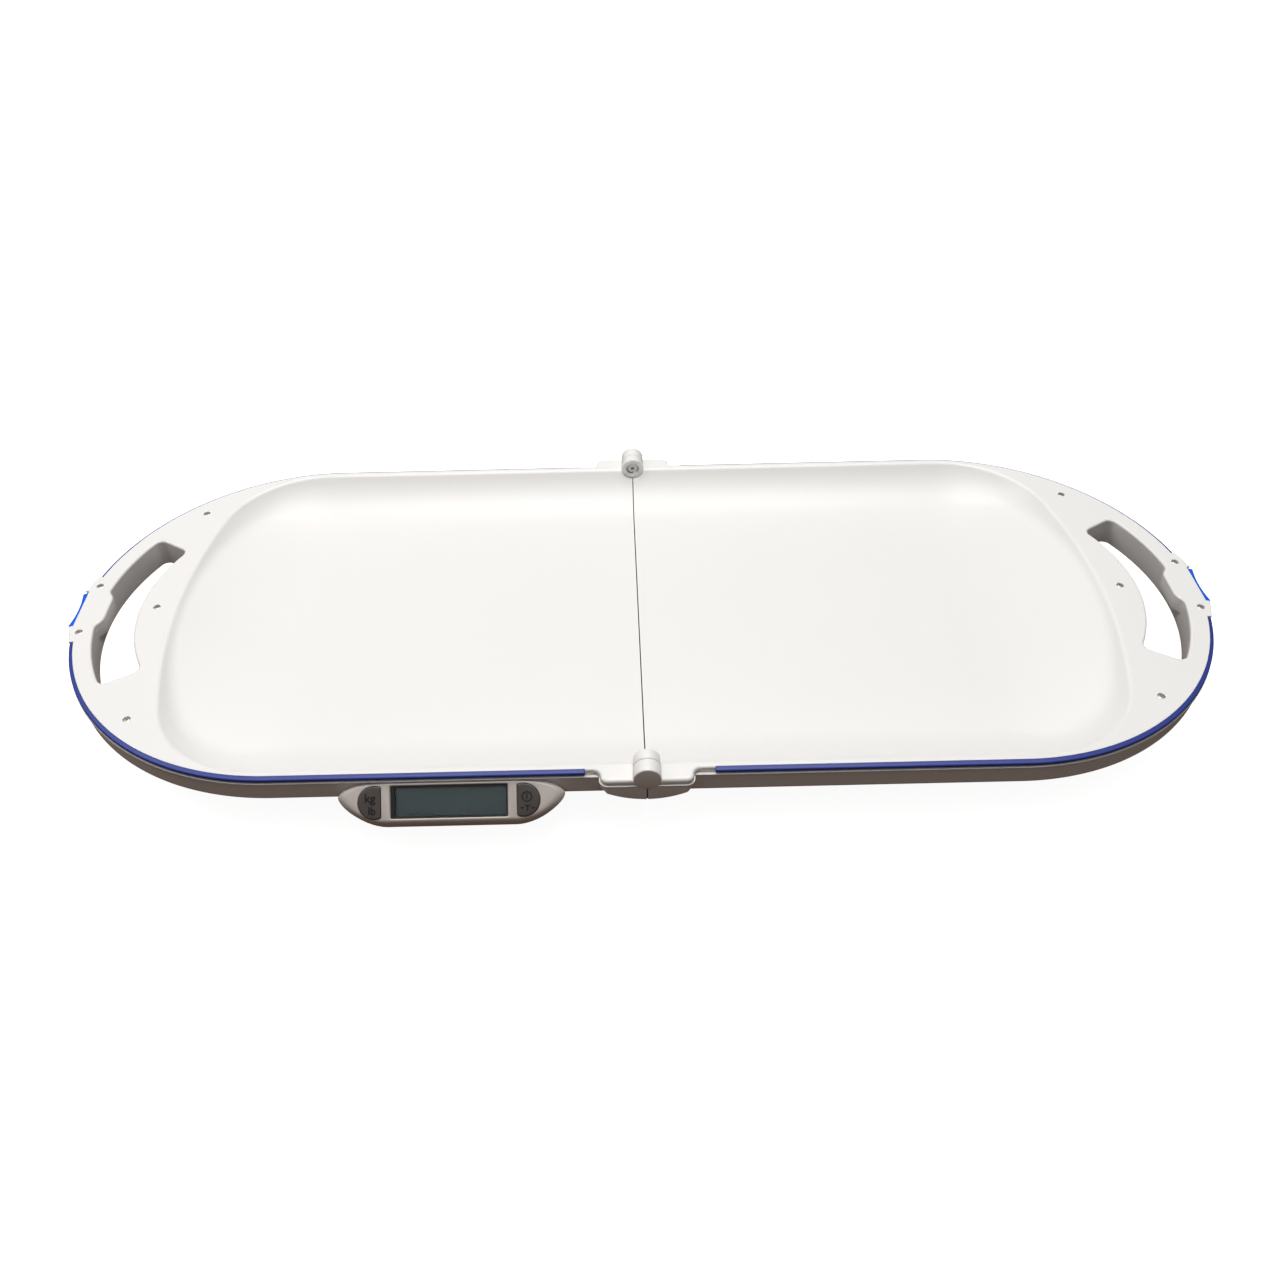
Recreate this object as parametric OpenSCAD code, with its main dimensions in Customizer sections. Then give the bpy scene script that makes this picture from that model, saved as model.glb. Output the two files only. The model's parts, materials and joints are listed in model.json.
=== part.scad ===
// Folding baby scale: two half trays joined by a hinge across the middle, standing open.
// Millimetres. +Z up, +X along the tray, +Y to the back. The origin lies under the hinge,
// on the surface that the feet stand on. Both halves come from the same moulds: the right
// half is the left half turned half a turn about the Z axis.

/* [Tray] */
// Radius of the tray's round ends
rim_r = 176.5; // [173:0.5:181]
// Distance from the hinge line to the centre of a round end
end_x = 253; // [250:1:262]
// Height of the rim above the surface that the scale stands on
rim_h = 60; // [58:1:66]
// Wall thickness of the mouldings
wall = 2.5; // [2.2:0.1:2.8]
// Thickness of the flat rim plate
plate_t = 3; // [2.8:0.1:3.4]
// Thickness of the rim's edge above the trim strip
lip_t = 1.2; // [1:0.1:1.5]
// Gap between the two halves at the seam
seam_gap = 0.8; // [0.6:0.1:1.2]

/* [Bed] */
// Depth of the bed below the rim
bed_depth = 24; // [22:0.5:26]
// Width of the flat rim beside the bed
rim_flat = 5.5; // [5:0.5:7]
// Radius of the hollow side walls of the bed
bed_side_r = 60; // [56:1:64]
// Distance from the hinge line to the end of the bed
bed_end_x = 356; // [352:1:358]
// Plan radius of the bed's end edge
bed_end_r = 450; // [430:5:480]
// Plan radius of the bed's corners
bed_corner_r = 80; // [74:1:84]
// Radius of the gentle slope towards the bed's ends
bed_slope_r = 260; // [240:5:280]
// Height of the steep lip at the bed's ends
bed_lip = 4; // [3:0.5:6]

/* [Handles] */
// Width of the rim's bar outside a handle hole
bar_w = 14.5; // [13:0.5:17]
// Width of a handle hole
hole_w = 30.3; // [28:0.1:32]
// Half of the angle that a handle hole spans
hole_half_angle = 31.7; // [28:0.1:34]
// Radius of a handle hole's corners
hole_corner_r = 6; // [4:0.5:8]
// How far the latch boss stands into a handle hole
boss_in = 6; // [5:0.5:7]
// Half width of the latch boss's flat
boss_half_w = 14; // [12:0.5:16]
// Length of the latch boss's slanted flanks along the bar
boss_flank = 8; // [6:0.5:10]
// Radius of the latch boss's soft corners
boss_round = 9; // [6:0.5:12]

/* [Trim strips] */
// Height of a trim strip
strip_h = 5; // [4:0.2:5.6]
// Depth of the groove that a trim strip sits in
strip_seat = 2.5; // [2:0.1:3]
// How far a trim strip stands out of the rim's edge
strip_out = 2; // [1.4:0.1:2.4]
// Distance from the hinge line to the near end of a front trim strip
strip_start_front = 41; // [40:0.5:44]
// Distance from the hinge line to the near end of a back trim strip
strip_start_back = 45.5; // [44:0.5:48]
// Distance from the middle line to a trim strip's end beside the latch
strip_end_y = 38; // [36:0.5:40]

/* [Lower case] */
// Height of the case's side wall with the rim
side_h = 23; // [22:0.5:25]
// Height of the ledge below the trim strip
ledge_h = 1; // [0.8:0.1:1.4]
// How far the ledge stands out of the rim's edge
ledge_out = 1.7; // [1.2:0.1:2]
// Height of the belly above the standing surface
belly_h = 8; // [7:0.5:10]
// Distance from the rim's edge to the belly's side, at its top
belly_inset = 11.5; // [10:0.5:14]
// How far the belly's side leans in from top to bottom
belly_lean = 20; // [16:1:24]

/* [Hinge] */
// Height of the hinge axis above the rim
hinge_up = 2; // [1.6:0.1:3]
// Radius of the hinge barrel
barrel_r = 9.2; // [8.6:0.1:9.8]
// How far the hinge barrel reaches in from the rim's edge
barrel_in = 8; // [7:0.1:9]
// Length of the inner knuckle
knuckle_in = 8.6; // [8:0.1:9.2]
// Length of the outer knuckle
knuckle_out = 10.6; // [10:0.1:12]
// Radius of the hinge pin's shank
pin_r = 3; // [2.6:0.1:3.4]
// Half length of a hinge ear along the tray
ear_x = 31; // [28:0.5:34]
// How far a hinge ear stands out of the rim's edge
ear_out = 10.5; // [9:0.5:12]
// Radius of the round lower ear
ear_r = 58.6; // [54:0.2:64]
// Depth of the round lower ear below the rim
ear_drop = 18.6; // [17:0.2:20]

/* [Latch] */
// Height of the latch button
latch_h = 12; // [11:0.5:13]
// Half width of the latch button
latch_half_w = 20; // [17:0.5:20.5]
// Distance from the rim's edge to the latch button's hollow middle
latch_out = 3.5; // [3:0.1:4.5]
// Depth of the hollow in the latch button's face
latch_hollow = 3; // [2:0.1:4]
// Travel of the latch button
latch_travel = 3.5; // [2.5:0.1:3.6]
// How far the bezel beside the latch button stands out of the rim's edge
bezel_out = 4; // [3.4:0.1:4.6]

/* [Screws] */
// Radius of a tray screw's head
screw_head_r = 2.6; // [2.2:0.1:2.8]
// Radius of a screw's shank
screw_r = 1.5; // [1.2:0.1:1.6]
// Radius of a screw post
post_r = 3.3; // [3:0.1:3.5]

/* [Feet and load cells] */
// Radius of a rubber foot
foot_r = 11; // [9:0.5:12]
// Thickness of a rubber foot
foot_t = 2.2; // [1.8:0.1:2.6]
// Distance from the hinge line to the near feet
foot_x1 = 48; // [44:1:60]
// Distance from the hinge line to the far feet
foot_x2 = 288; // [275:1:292]
// Distance from the middle line to the feet
foot_y = 104; // [96:1:108]
// Width of a square load cell
cell_w = 36; // [34:0.5:38]
// Thickness of a load cell
cell_t = 1.6; // [1.4:0.1:2]

/* [Display housing] */
// Distance from the hinge line to the middle of the display housing
disp_x = 132; // [128:1:136]
// Half length of the housing's face
face_half_l = 71.5; // [70:0.5:74]
// Half height of the housing's face
face_half_h = 14; // [13.8:0.1:14.6]
// Angle between the face's normal and the level
face_tilt = 45; // [42:0.5:48]
// Distance from the rim's edge to the middle of the face
face_out = 11.3; // [10.8:0.1:12.2]
// Depth of the middle of the face below the rim
face_drop = 15.6; // [15:0.1:16.2]
// How far the housing bulges round the face
face_round = 3; // [2:0.1:3.6]
// Depth of the housing's underside below the rim
housing_drop = 36; // [35:0.5:38]
// Width of the display opening
window_w = 78; // [70:0.5:80]
// Height of the display opening
window_h = 21.5; // [18:0.5:22]
// Radius of a half-moon key
key_r = 11; // [10:0.1:11.2]
// Distance from the housing's middle to the centre of a key's round side
key_x = 49.6; // [49:0.1:50.5]
// Distance from a key's centre to its straight side
key_flat = 4.2; // [3.6:0.1:5]
// Travel of a key
key_travel = 0.8; // [0.4:0.1:0.9]

/* [Batteries] */
// Radius of a battery cell
battery_r = 7.1; // [6.8:0.05:7.25]
// Length of a battery cell
battery_l = 50.2; // [48:0.1:50.5]
// Number of battery cells
battery_n = 4; // [2:1:4]
// Distance from the hinge line to the middle of the battery bay
bay_x = 190; // [180:1:200]
// Thickness of the battery door
door_t = 2; // [1.6:0.1:2.4]
// Travel of the battery door
door_travel = 55; // [30:1:60]

/* [Fits] */
// Clearance between fixed pieces
fit = 0.1; // [0.05:0.01:0.15]
// Radial clearance of a turning pin
pin_fit = 0.05; // [0.02:0.01:0.08]
// Gap around pieces that slide or press
slide_gap = 0.3; // [0.2:0.05:0.4]
// Radial gap around a turning barrel
barrel_gap = 0.35; // [0.3:0.05:0.5]

/* [Hidden] */
$fn = 64;
big = 600;

hinge_z = rim_h + hinge_up;
seam_x = seam_gap / 2;

// Bed: the side wall's arc and the plan arcs that meet it.
bed_half_w = rim_r - rim_flat;
side_run = sqrt(pow(bed_side_r, 2) - pow(bed_side_r - bed_depth, 2));
end_centre = bed_end_x - bed_end_r;
corner_y = bed_half_w - bed_corner_r;
corner_x = end_centre + sqrt(pow(bed_end_r - bed_corner_r, 2) - pow(corner_y, 2));
end_angle = asin(corner_y / (bed_end_r - bed_corner_r));
slope_up = bed_slope_r - bed_depth;
slope_x = bed_end_x - bed_lip - sqrt(pow(bed_slope_r, 2) - pow(slope_up + bed_lip, 2));

// Trim strip, its groove and the parting line of the case.
groove_top = rim_h - lip_t;
groove_bottom = groove_top - strip_h;
groove_r = rim_r - strip_seat;
skirt_t = wall;
parting = groove_bottom;
side_bottom = rim_h - side_h;
case_r = rim_r + 0.5;
belly_top_half = rim_r - belly_inset;
belly_end_x = bed_end_x - belly_inset / 2;

// Handle hole: its radii about the end's centre.
hole_r2 = rim_r - bar_w;
hole_r1 = hole_r2 - hole_w;

// Latch.
latch_face_x = end_x + rim_r + latch_out;
latch_depth = 10;
latch_back_x = latch_face_x + latch_hollow - latch_depth;
latch_top = rim_h - lip_t - fit;
latch_bottom = latch_top - latch_h;
latch_mid_z = (latch_top + latch_bottom) / 2;
latch_hollow_r = (pow(latch_half_w, 2) + pow(latch_hollow, 2)) / (2 * latch_hollow);
stem_r = 3.2;
stem_l = 6;
spring_t = 0.8;
boss_x = end_x + hole_r2 - boss_in;
boss_wall_x = boss_x + wall;
boss_floor_t = 2;
boss_bottom = latch_mid_z - stem_r - slide_gap - boss_floor_t;
bezel_half_w = latch_half_w + slide_gap;
lug_w = 2.6;
lug_t = 1.4;
lug_x = 0.8;
screw_side_y = bezel_half_w + post_r + 3.4;

// Hinge.
barrel_y1 = rim_r - barrel_in;
split_y = barrel_y1 + knuckle_in;
axial_gap = 0.3;
outer_y1 = split_y + axial_gap;
outer_y2 = outer_y1 + knuckle_out;
ear_y = rim_r + ear_out;
cbore_r = 5.5;
cbore_depth = 4.4;
pin_head_r = 4.3;
bore_end_y = outer_y2 - 2;
pin_end_y = bore_end_y - 3.4;
wire_r = 0.9;
wire_sides = 12;
wire_bore_r = 1.5;
cable_x = 11;
wire_y_left = barrel_y1 + 2.1;
wire_y_right = bore_end_y - 1.7;
hinge_boss_x = 14;
hinge_boss_t = 7.5;

// Tray screws: two beside the latch, one on the inner bar and two near the bed's corners.
corner_screw = [bed_end_x + 5, bed_half_w - 51];
bar_screw_x = (bed_end_x + end_x + hole_r1) / 2 + 1;
screw_places = [
  [-corner_screw[0], corner_screw[1]], [-corner_screw[0], -corner_screw[1]], [-bar_screw_x, 0],
  [-(end_x + rim_r - 6), screw_side_y], [-(end_x + rim_r - 6), -screw_side_y]
];
head_t = 1.3;
head_sink = 0.3;
head_seat = head_t + head_sink;
shank_l = 11;

// Load cells and feet.
foot_places = [for (x = [-foot_x1, -foot_x2], y = [-foot_y, foot_y]) [x, y]];
cup_r = foot_r + 2.4;
cup_hole_r = cup_r + 0.6;
cell_seat_h = 1.5;
floor_z = belly_h + wall;
cell_z = floor_z + cell_seat_h;

// Display housing.
face_angle = 90 - face_tilt;
face_y = rim_r + face_out;
face_z = rim_h - face_drop;
shell_t = 2.2;
key_hole_gap = 0.25;
key_out = 0.8;
flange_t = 1.2;
lens_t = 1.5;
frame_t = 1;
board_t = 1.6;
board_w = -11.1;
key_board_l = 2 * (key_x + key_r - 0.6);
wall_window_half = key_board_l / 2 + 1;
wall_window = [rim_h - 21.5, parting - ledge_h - 0.8];
boss_spread = key_x + key_r + 5.6;
housing_screw_z = rim_h - 15.5;
housing_back = case_r + fit;
switch_h = 1.6;
plunger_h = 0.6;
key_rest_gap = 0.2;
key_stem_end = board_w + board_t + switch_h + plunger_h + key_travel + key_rest_gap;

// Battery bay.
bay_gap = 0.4;
bay_half_y = battery_n * (battery_r + bay_gap / 2) + 1;
bay_half_x = battery_l / 2 + 3.2;
tray_wall = 1.4;
tray_h = 2 * battery_r + 1.2;
door_half_x = bay_half_x + 2;
door_half_y = bay_half_y + 2;
rail_t = 2;
rail_h = 1.2;
rail_lead = 4;
rail_l = rail_lead + 2 * door_half_x + door_travel / 2;

shell_white = [0.96, 0.96, 0.95];
trim_blue = [0.17, 0.25, 0.6];
latch_blue = [0.05, 0.36, 0.85];
pod_grey = [0.78, 0.74, 0.72];
key_grey = [0.42, 0.39, 0.37];
dark = [0.12, 0.13, 0.13];
lcd_grey = [0.2, 0.27, 0.28];
steel = [0.75, 0.75, 0.77];
rubber = [0.2, 0.2, 0.2];
board_green = [0.1, 0.4, 0.2];
copper = [0.75, 0.35, 0.15];

// Turns the left half's shapes into the right half's.
module right() { rotate([0, 0, 180]) children(); }

// Plan of one half tray: a straight stretch and a round end of radius r.
module half_plan(r, x_seam = seam_x) {
  translate([-end_x, 0]) circle(r);
  translate([-end_x, -r]) square([end_x - x_seam, 2 * r]);
}

module slab(z1, z2) { translate([0, 0, z1]) linear_extrude(z2 - z1) children(); }

// An arc through the angles a1 to a2, as the points of a polygon.
function arc(centre, r, a1, a2, n = 10) =
  [for (i = [0 : n]) centre + r * [cos(a1 + (a2 - a1) * i / n), sin(a1 + (a2 - a1) * i / n)]];

// Section of the bed's hollow from x1 out to its edge, grown by g all round, up to top above the rim.
module bed_section(edge, g, top, x1 = 0) {
  centre = [edge - side_run, bed_side_r - bed_depth];
  polygon(concat(
    [[x1, top], [x1, -bed_depth - g]],
    arc(centre, bed_side_r + g, -90, -asin((centre[1] - top) / (bed_side_r + g)))
  ));
}

// The bed swept along its outline.
module bed_sweep(g, top) {
  translate([-corner_x, 0, 0]) rotate([90, 0, 90]) linear_extrude(corner_x) {
    bed_section(bed_half_w, g, top);
    mirror([1, 0]) bed_section(bed_half_w, g, top);
  }
  // The corners reach a little into their neighbours, whose edges they touch from inside.
  reach = 2;
  for (s = [-1, 1]) translate([-corner_x, s * corner_y, 0]) {
    rotate_extrude(angle = 90 - end_angle + 2 * reach, start = (s > 0 ? 90 : 180 + end_angle) - reach)
      bed_section(bed_corner_r, g, top);
    translate([0, 0, -bed_depth - g]) cylinder(r = bed_corner_r / 10, h = bed_depth + g + top);
  }
  translate([-end_centre, 0, 0]) rotate_extrude(angle = 2 * end_angle, start = 180 - end_angle)
    bed_section(bed_end_r, g, top, bed_end_r - 150);
}

// Keeps the gentle slope towards the bed's end.
module bed_slope(g, top) {
  r = bed_slope_r + g;
  past_end = bed_end_x + 12;
  rotate([90, 0, 0]) translate([0, 0, -big / 2]) linear_extrude(big) polygon(concat(
    [[1, top + 5], [1, -bed_depth - g]], arc([-slope_x, slope_up], r, 270, 180 + acos((past_end - slope_x) / r)),
    [[-past_end, top + 5]]
  ));
}

module bed(g, top) {
  translate([0, 0, rim_h]) intersection() {
    bed_sweep(g, top);
    bed_slope(g, top);
  }
}

// Plan of the bed drawn in by i.
module bed_plan(i) {
  translate([-corner_x, -bed_half_w + i]) square([corner_x, 2 * (bed_half_w - i)]);
  for (s = [-1, 1]) translate([-corner_x, s * corner_y]) circle(bed_corner_r - i);
  reach = bed_end_r;
  intersection() {
    translate([-end_centre, 0]) circle(bed_end_r - i);
    translate([-end_centre, 0]) polygon([
      [0, 0], [-1.2 * reach, 1.2 * reach * tan(end_angle)], [-1.2 * reach, -1.2 * reach * tan(end_angle)]
    ]);
    translate([-bed_end_x - 10, -bed_half_w]) square([bed_end_x - corner_x + 60, 2 * bed_half_w]);
  }
}

// Plan of the handle hole, grown by g, with the latch boss standing into it.
module handle_hole(g, boss = true) {
  offset(r = g) offset(r = -boss_round) offset(r = boss_round + hole_corner_r) offset(delta = -hole_corner_r)
  translate([-end_x, 0]) difference() {
    intersection() {
      circle(hole_r2, $fn = 180);
      polygon([
        [0, 0], [-1.3 * hole_r2 * cos(hole_half_angle), 1.3 * hole_r2 * sin(hole_half_angle)],
        [-1.3 * hole_r2 * cos(hole_half_angle), -1.3 * hole_r2 * sin(hole_half_angle)]
      ]);
    }
    circle(hole_r1, $fn = 180);
    if (boss) polygon([
      [-hole_r2 - 1, -boss_half_w - boss_flank - 1], [-hole_r2 + boss_in, -boss_half_w],
      [-hole_r2 + boss_in, boss_half_w], [-hole_r2 - 1, boss_half_w + boss_flank + 1]
    ]);
  }
}

// Plan of the bezel blocks beside the latch button, from radius r outwards.
module bezel_plan(r) {
  intersection() {
    difference() {
      half_plan(rim_r + bezel_out);
      half_plan(r);
    }
    for (s = [-1, 1]) translate([-end_x - rim_r - 20, s > 0 ? bezel_half_w : -strip_end_y + fit])
      square([60, strip_end_y - fit - bezel_half_w]);
  }
}

// Cylinder along the hinge axis, between two distances from the middle line; side is -1 at the front.
module on_hinge(r, y1, y2, side) {
  translate([0, side > 0 ? y1 : -y2, hinge_z]) rotate([-90, 0, 0]) cylinder(r = r, h = y2 - y1);
}

// Room for the other half's knuckle on each side of the left half.
module hinge_scoops() {
  on_hinge(barrel_r + barrel_gap, outer_y1 - axial_gap / 2, outer_y2 + 5, -1);
  on_hinge(barrel_r + barrel_gap, barrel_y1 - axial_gap, outer_y1 - axial_gap / 2, 1);
}

// Outline of the top of a hinge ear, from above; side is -1 at the front.
module ear_plan(side) {
  blend = 5;
  scale([1, side]) {
    difference() {
      translate([-ear_x, rim_r - 6]) square([ear_x - seam_x, ear_y - rim_r + 6]);
      translate([-ear_x, ear_y - blend]) square([2 * blend, 2 * blend], center = true);
    }
    translate([-ear_x + blend, ear_y - blend]) circle(blend);
    difference() {
      translate([-ear_x - blend, rim_r - 1]) square([blend, blend + 1]);
      translate([-ear_x - blend, rim_r + blend]) circle(blend);
    }
  }
}

// Slot that carries the cable out of the hinge axis into its own half.
module cable_slot(y, side) {
  translate([0, side * y, hinge_z]) rotate([0, 225, 0]) cylinder(r = wire_bore_r + 0.2, h = 20);
}

// Skirt that stands behind the trim strips.
module skirt_plan() {
  difference() {
    half_plan(groove_r);
    half_plan(groove_r - skirt_t);
    translate([-end_x - rim_r - 20, -strip_end_y]) square([120, 2 * strip_end_y]);
  }
}

// The rim's edge between a hinge ear and the near end of a trim strip.
module strip_stop_plan() {
  intersection() {
    difference() {
      half_plan(rim_r);
      half_plan(groove_r - 1);
    }
    union() {
      translate([-strip_start_front + fit, -rim_r]) square([strip_start_front, rim_r]);
      translate([-strip_start_back + fit, 0]) square([strip_start_back, rim_r]);
    }
  }
}

// Ways for the cable from the hinge axis into the case, at the back ear.
module cable_ways() {
  cable_slot(wire_y_right, 1);
  translate([-cable_x, rim_r - 12, hinge_z - cable_x]) rotate([-90, 0, 0])
    cylinder(r = wire_bore_r, h = wire_y_right - rim_r + 12);
}

module upper_body() {
  difference() {
    union() {
      slab(groove_top, rim_h) half_plan(rim_r);
      slab(rim_h - plate_t, groove_top) half_plan(groove_r);
      slab(parting, rim_h - plate_t) skirt_plan();
      slab(parting, rim_h - lip_t / 2) strip_stop_plan();
      slab(parting, rim_h - plate_t) bezel_plan(case_r + fit);
      slab(rim_h - plate_t, rim_h - lip_t / 2) bezel_plan(groove_r - 1);
      intersection() {
        bed(wall, -lip_t);
        translate([-big, -big / 2, 0]) cube([big - seam_x, big, big]);
      }
      for (s = [-1, 1]) slab(parting, rim_h) ear_plan(s);
      for (s = [-1, 1]) slab(parting, groove_top)
        translate([-hinge_boss_x, s > 0 ? groove_r - hinge_boss_t : -groove_r])
          square([hinge_boss_x - seam_x, hinge_boss_t]);
    }
    intersection() {
      bed(0, 1);
      translate([-big, -big / 2, 0]) cube([big + 1, big, big]);
    }
    slab(rim_h - 2 * plate_t, rim_h + 1) handle_hole(0);
    for (p = screw_places) translate([p[0], p[1], rim_h]) {
      translate([0, 0, -head_seat]) cylinder(r = screw_head_r + 0.3, h = head_seat + 1);
      translate([0, 0, -plate_t - 1]) cylinder(r = screw_r + 0.2, h = plate_t + 1);
    }
    slab(parting - 1, rim_h - lip_t) translate([-end_x - rim_r - 5, -bezel_half_w])
      square([latch_travel + 10, 2 * bezel_half_w]);
    hinge_scoops();
  }
}

// The half tray with its own knuckles: the inner one at the front, the outer one at the back.
module upper_tray() {
  difference() {
    union() {
      upper_body();
      on_hinge(barrel_r, barrel_y1, split_y, -1);
      on_hinge(barrel_r, outer_y1, outer_y2, 1);
    }
    on_hinge(pin_r + pin_fit, barrel_y1 - 1, split_y + 1, -1);
    on_hinge(cbore_r, barrel_y1 - 1, barrel_y1 + cbore_depth, -1);
    on_hinge(pin_r + fit / 2, outer_y1 - 1, bore_end_y, 1);
    cable_slot(wire_y_left, -1);
    cable_ways();
  }
}

// The belly under the bed, drawn in by i, between two heights.
module belly(i, z1, z2) {
  top_half = belly_top_half - i;
  lean = belly_lean / (side_bottom - belly_h);
  intersection() {
    slab(z1, z2) bed_plan(rim_r - belly_top_half - rim_flat + i);
    translate([-big, 0, 0]) rotate([90, 0, 90]) linear_extrude(big) polygon([
      for (p = [[-1, z1], [1, z1], [1, side_bottom], [1, z2 + 1], [-1, z2 + 1], [-1, side_bottom]])
        [p[0] * (top_half - lean * max(0, side_bottom - p[1])), p[1]]
    ]);
    rotate([90, 0, 0]) translate([0, 0, -big / 2]) linear_extrude(big) polygon([
      [0, z1], [0, z2 + 1], [-belly_end_x + i, z2 + 1], [-belly_end_x + i, side_bottom],
      [-belly_end_x + i + lean * (side_bottom - z1), z1]
    ]);
  }
}

module lower_ear(side) {
  y1 = case_r - 1;
  y2 = ear_y + 1;
  translate([0, side > 0 ? y2 : -y1, 0]) rotate([90, 0, 0]) linear_extrude(y2 - y1) intersection() {
    translate([0, rim_h - ear_drop + ear_r]) circle(ear_r);
    translate([-ear_r, rim_h - ear_drop - 1]) square([ear_r - seam_x, parting - fit - rim_h + ear_drop + 1]);
  }
}

// Posts, ribs and rims that stand on the inside of the lower case.
module case_inside() {
  slab(boss_bottom, rim_h - plate_t - 2 * fit) difference() {
    handle_hole(wall - 0.3);
    handle_hole(0);
  }
  // Below the latch boss, which has a floor of its own, the hole's wall is a plain arc.
  slab(side_bottom, boss_bottom + boss_floor_t) difference() {
    handle_hole(wall - 0.3, false);
    handle_hole(0);
  }
  for (p = screw_places) translate([p[0], p[1], side_bottom]) cylinder(r = post_r, h = side_h - plate_t - 2 * fit);
  for (p = foot_places) translate([p[0], p[1], floor_z - 1]) difference() {
    cylinder(r = cup_hole_r + wall, h = cell_seat_h + 1);
    translate([0, 0, -1]) cylinder(r = cup_hole_r, h = cell_seat_h + 3);
  }
  for (s = [-1, 1]) translate([-boss_wall_x - 5, s > 0 ? stem_r + 1 : -stem_r - 3, side_bottom + 1])
    cube([6, 2, latch_mid_z - side_bottom]);
}

module lower_case() {
  difference() {
    union() {
      difference() {
        union() {
          slab(side_bottom, parting - fit) half_plan(case_r);
          slab(parting - ledge_h, parting - fit) half_plan(rim_r + ledge_out);
          slab(latch_bottom - 1, parting - fit) bezel_plan(case_r - 1);
          belly(0, belly_h, side_bottom + 1);
        }
        slab(side_bottom + wall, rim_h) half_plan(case_r - wall, seam_x + wall);
        intersection() {
          belly(wall, floor_z, side_bottom + wall + 1);
          translate([-big, -big / 2, 0]) cube([big - seam_x - wall, big, big]);
        }
      }
      case_inside();
      for (s = [-1, 1]) lower_ear(s);
    }
    translate([-seam_x, -big / 2, 0]) cube([big, big, big]);
    bed(wall + fit, 5);
    slab(side_bottom - 1, rim_h) handle_hole(0);
    slab(side_bottom - 1, boss_bottom) handle_hole(0, false);
    slab(latch_bottom - slide_gap, rim_h) translate([-end_x - rim_r - 10, -bezel_half_w])
      square([10 + rim_r + end_x - boss_wall_x - 8, 2 * bezel_half_w]);
    hinge_scoops();
    for (s = [-1, 1]) on_hinge(barrel_r + barrel_gap, barrel_y1 - 1, outer_y2 + 5, s);
    for (p = screw_places) translate([p[0], p[1], rim_h - plate_t - shank_l]) cylinder(r = screw_r + fit, h = shank_l + 1);
    for (p = foot_places) translate([p[0], p[1], belly_h - 1]) cylinder(r = cup_hole_r, h = wall + 3);
    cable_ways();
  }
}

// Left half only: the display's cable window, the battery bay, the door's rails and the board's posts.
board_x = -disp_x;
board_y = -118;
board_l = 90;
board_d = 34;
board_post_h = 4;
board_places = [for (x = [-1, 1], y = [-1, 1]) [board_x + x * (board_l / 2 - 4), board_y + y * (board_d / 2 - 4)]];

module lower_case_left() {
  difference() {
    union() {
      lower_case();
      for (p = board_places) translate([p[0], p[1], floor_z - 1]) cylinder(r = 3, h = board_post_h + 1);
      for (s = [-1, 1]) translate([-bay_x - door_half_x - rail_lead, s * (door_half_y + slide_gap), 0]) {
        translate([0, s > 0 ? 0 : -rail_t, belly_h - door_t - 2 * slide_gap - rail_h])
          cube([rail_l, rail_t, door_t + 2 * slide_gap + rail_h + 0.5]);
        translate([0, s > 0 ? -rail_t : 0, belly_h - door_t - 2 * slide_gap - rail_h])
          cube([rail_l, rail_t, rail_h]);
      }
    }
    translate([-bay_x - bay_half_x, -bay_half_y, belly_h - 1]) cube([2 * bay_half_x, 2 * bay_half_y, wall + 2]);
    translate([-disp_x - wall_window_half, -case_r - 2, wall_window[0]])
      cube([2 * wall_window_half, wall + 4, wall_window[1] - wall_window[0]]);
    for (p = board_places) translate([p[0], p[1], floor_z + 0.5]) cylinder(r = screw_r + fit, h = board_post_h);
    for (s = [-1, 1]) translate([-disp_x + s * boss_spread, -rim_r + wall + 2, housing_screw_z])
      rotate([90, 0, 0]) cylinder(r = screw_r + fit, h = 8);
  }
}

// A trim strip: a straight stretch and a stretch round the end, flat where it seats.
module strip_section() {
  seat = groove_r + fit;
  round_r = strip_h / 2 - fit;
  translate([seat, -strip_h + fit]) square([rim_r + strip_out - round_r - seat, strip_h - 2 * fit]);
  intersection() {
    translate([rim_r + strip_out - round_r, -strip_h / 2]) circle(round_r);
    translate([seat, -strip_h]) square([rim_r + strip_out - seat + 1, strip_h]);
  }
}

module trim_strip(side, start) {
  sweep = 90 - asin(strip_end_y / groove_r);
  translate([0, 0, groove_top]) {
    scale([1, side, 1]) translate([-end_x, 0, 0]) {
      rotate([90, 0, 90]) linear_extrude(end_x - start) strip_section();
      rotate_extrude(angle = sweep, start = 90) strip_section();
    }
  }
}

// Screws stand with their heads in the tray's recesses.
module screw(head, shank, head_h, length) {
  cylinder(r = head, h = head_h);
  translate([0, 0, -length]) cylinder(r = shank, h = length + 0.1);
}

module tray_screws() {
  for (p = screw_places) translate([p[0], p[1], rim_h - head_seat]) difference() {
    screw(screw_head_r, screw_r, head_t, shank_l);
    for (a = [0, 90]) rotate(a) translate([-1.6, -0.35, head_t - 0.7]) cube([3.2, 0.7, 1]);
  }
}

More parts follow.
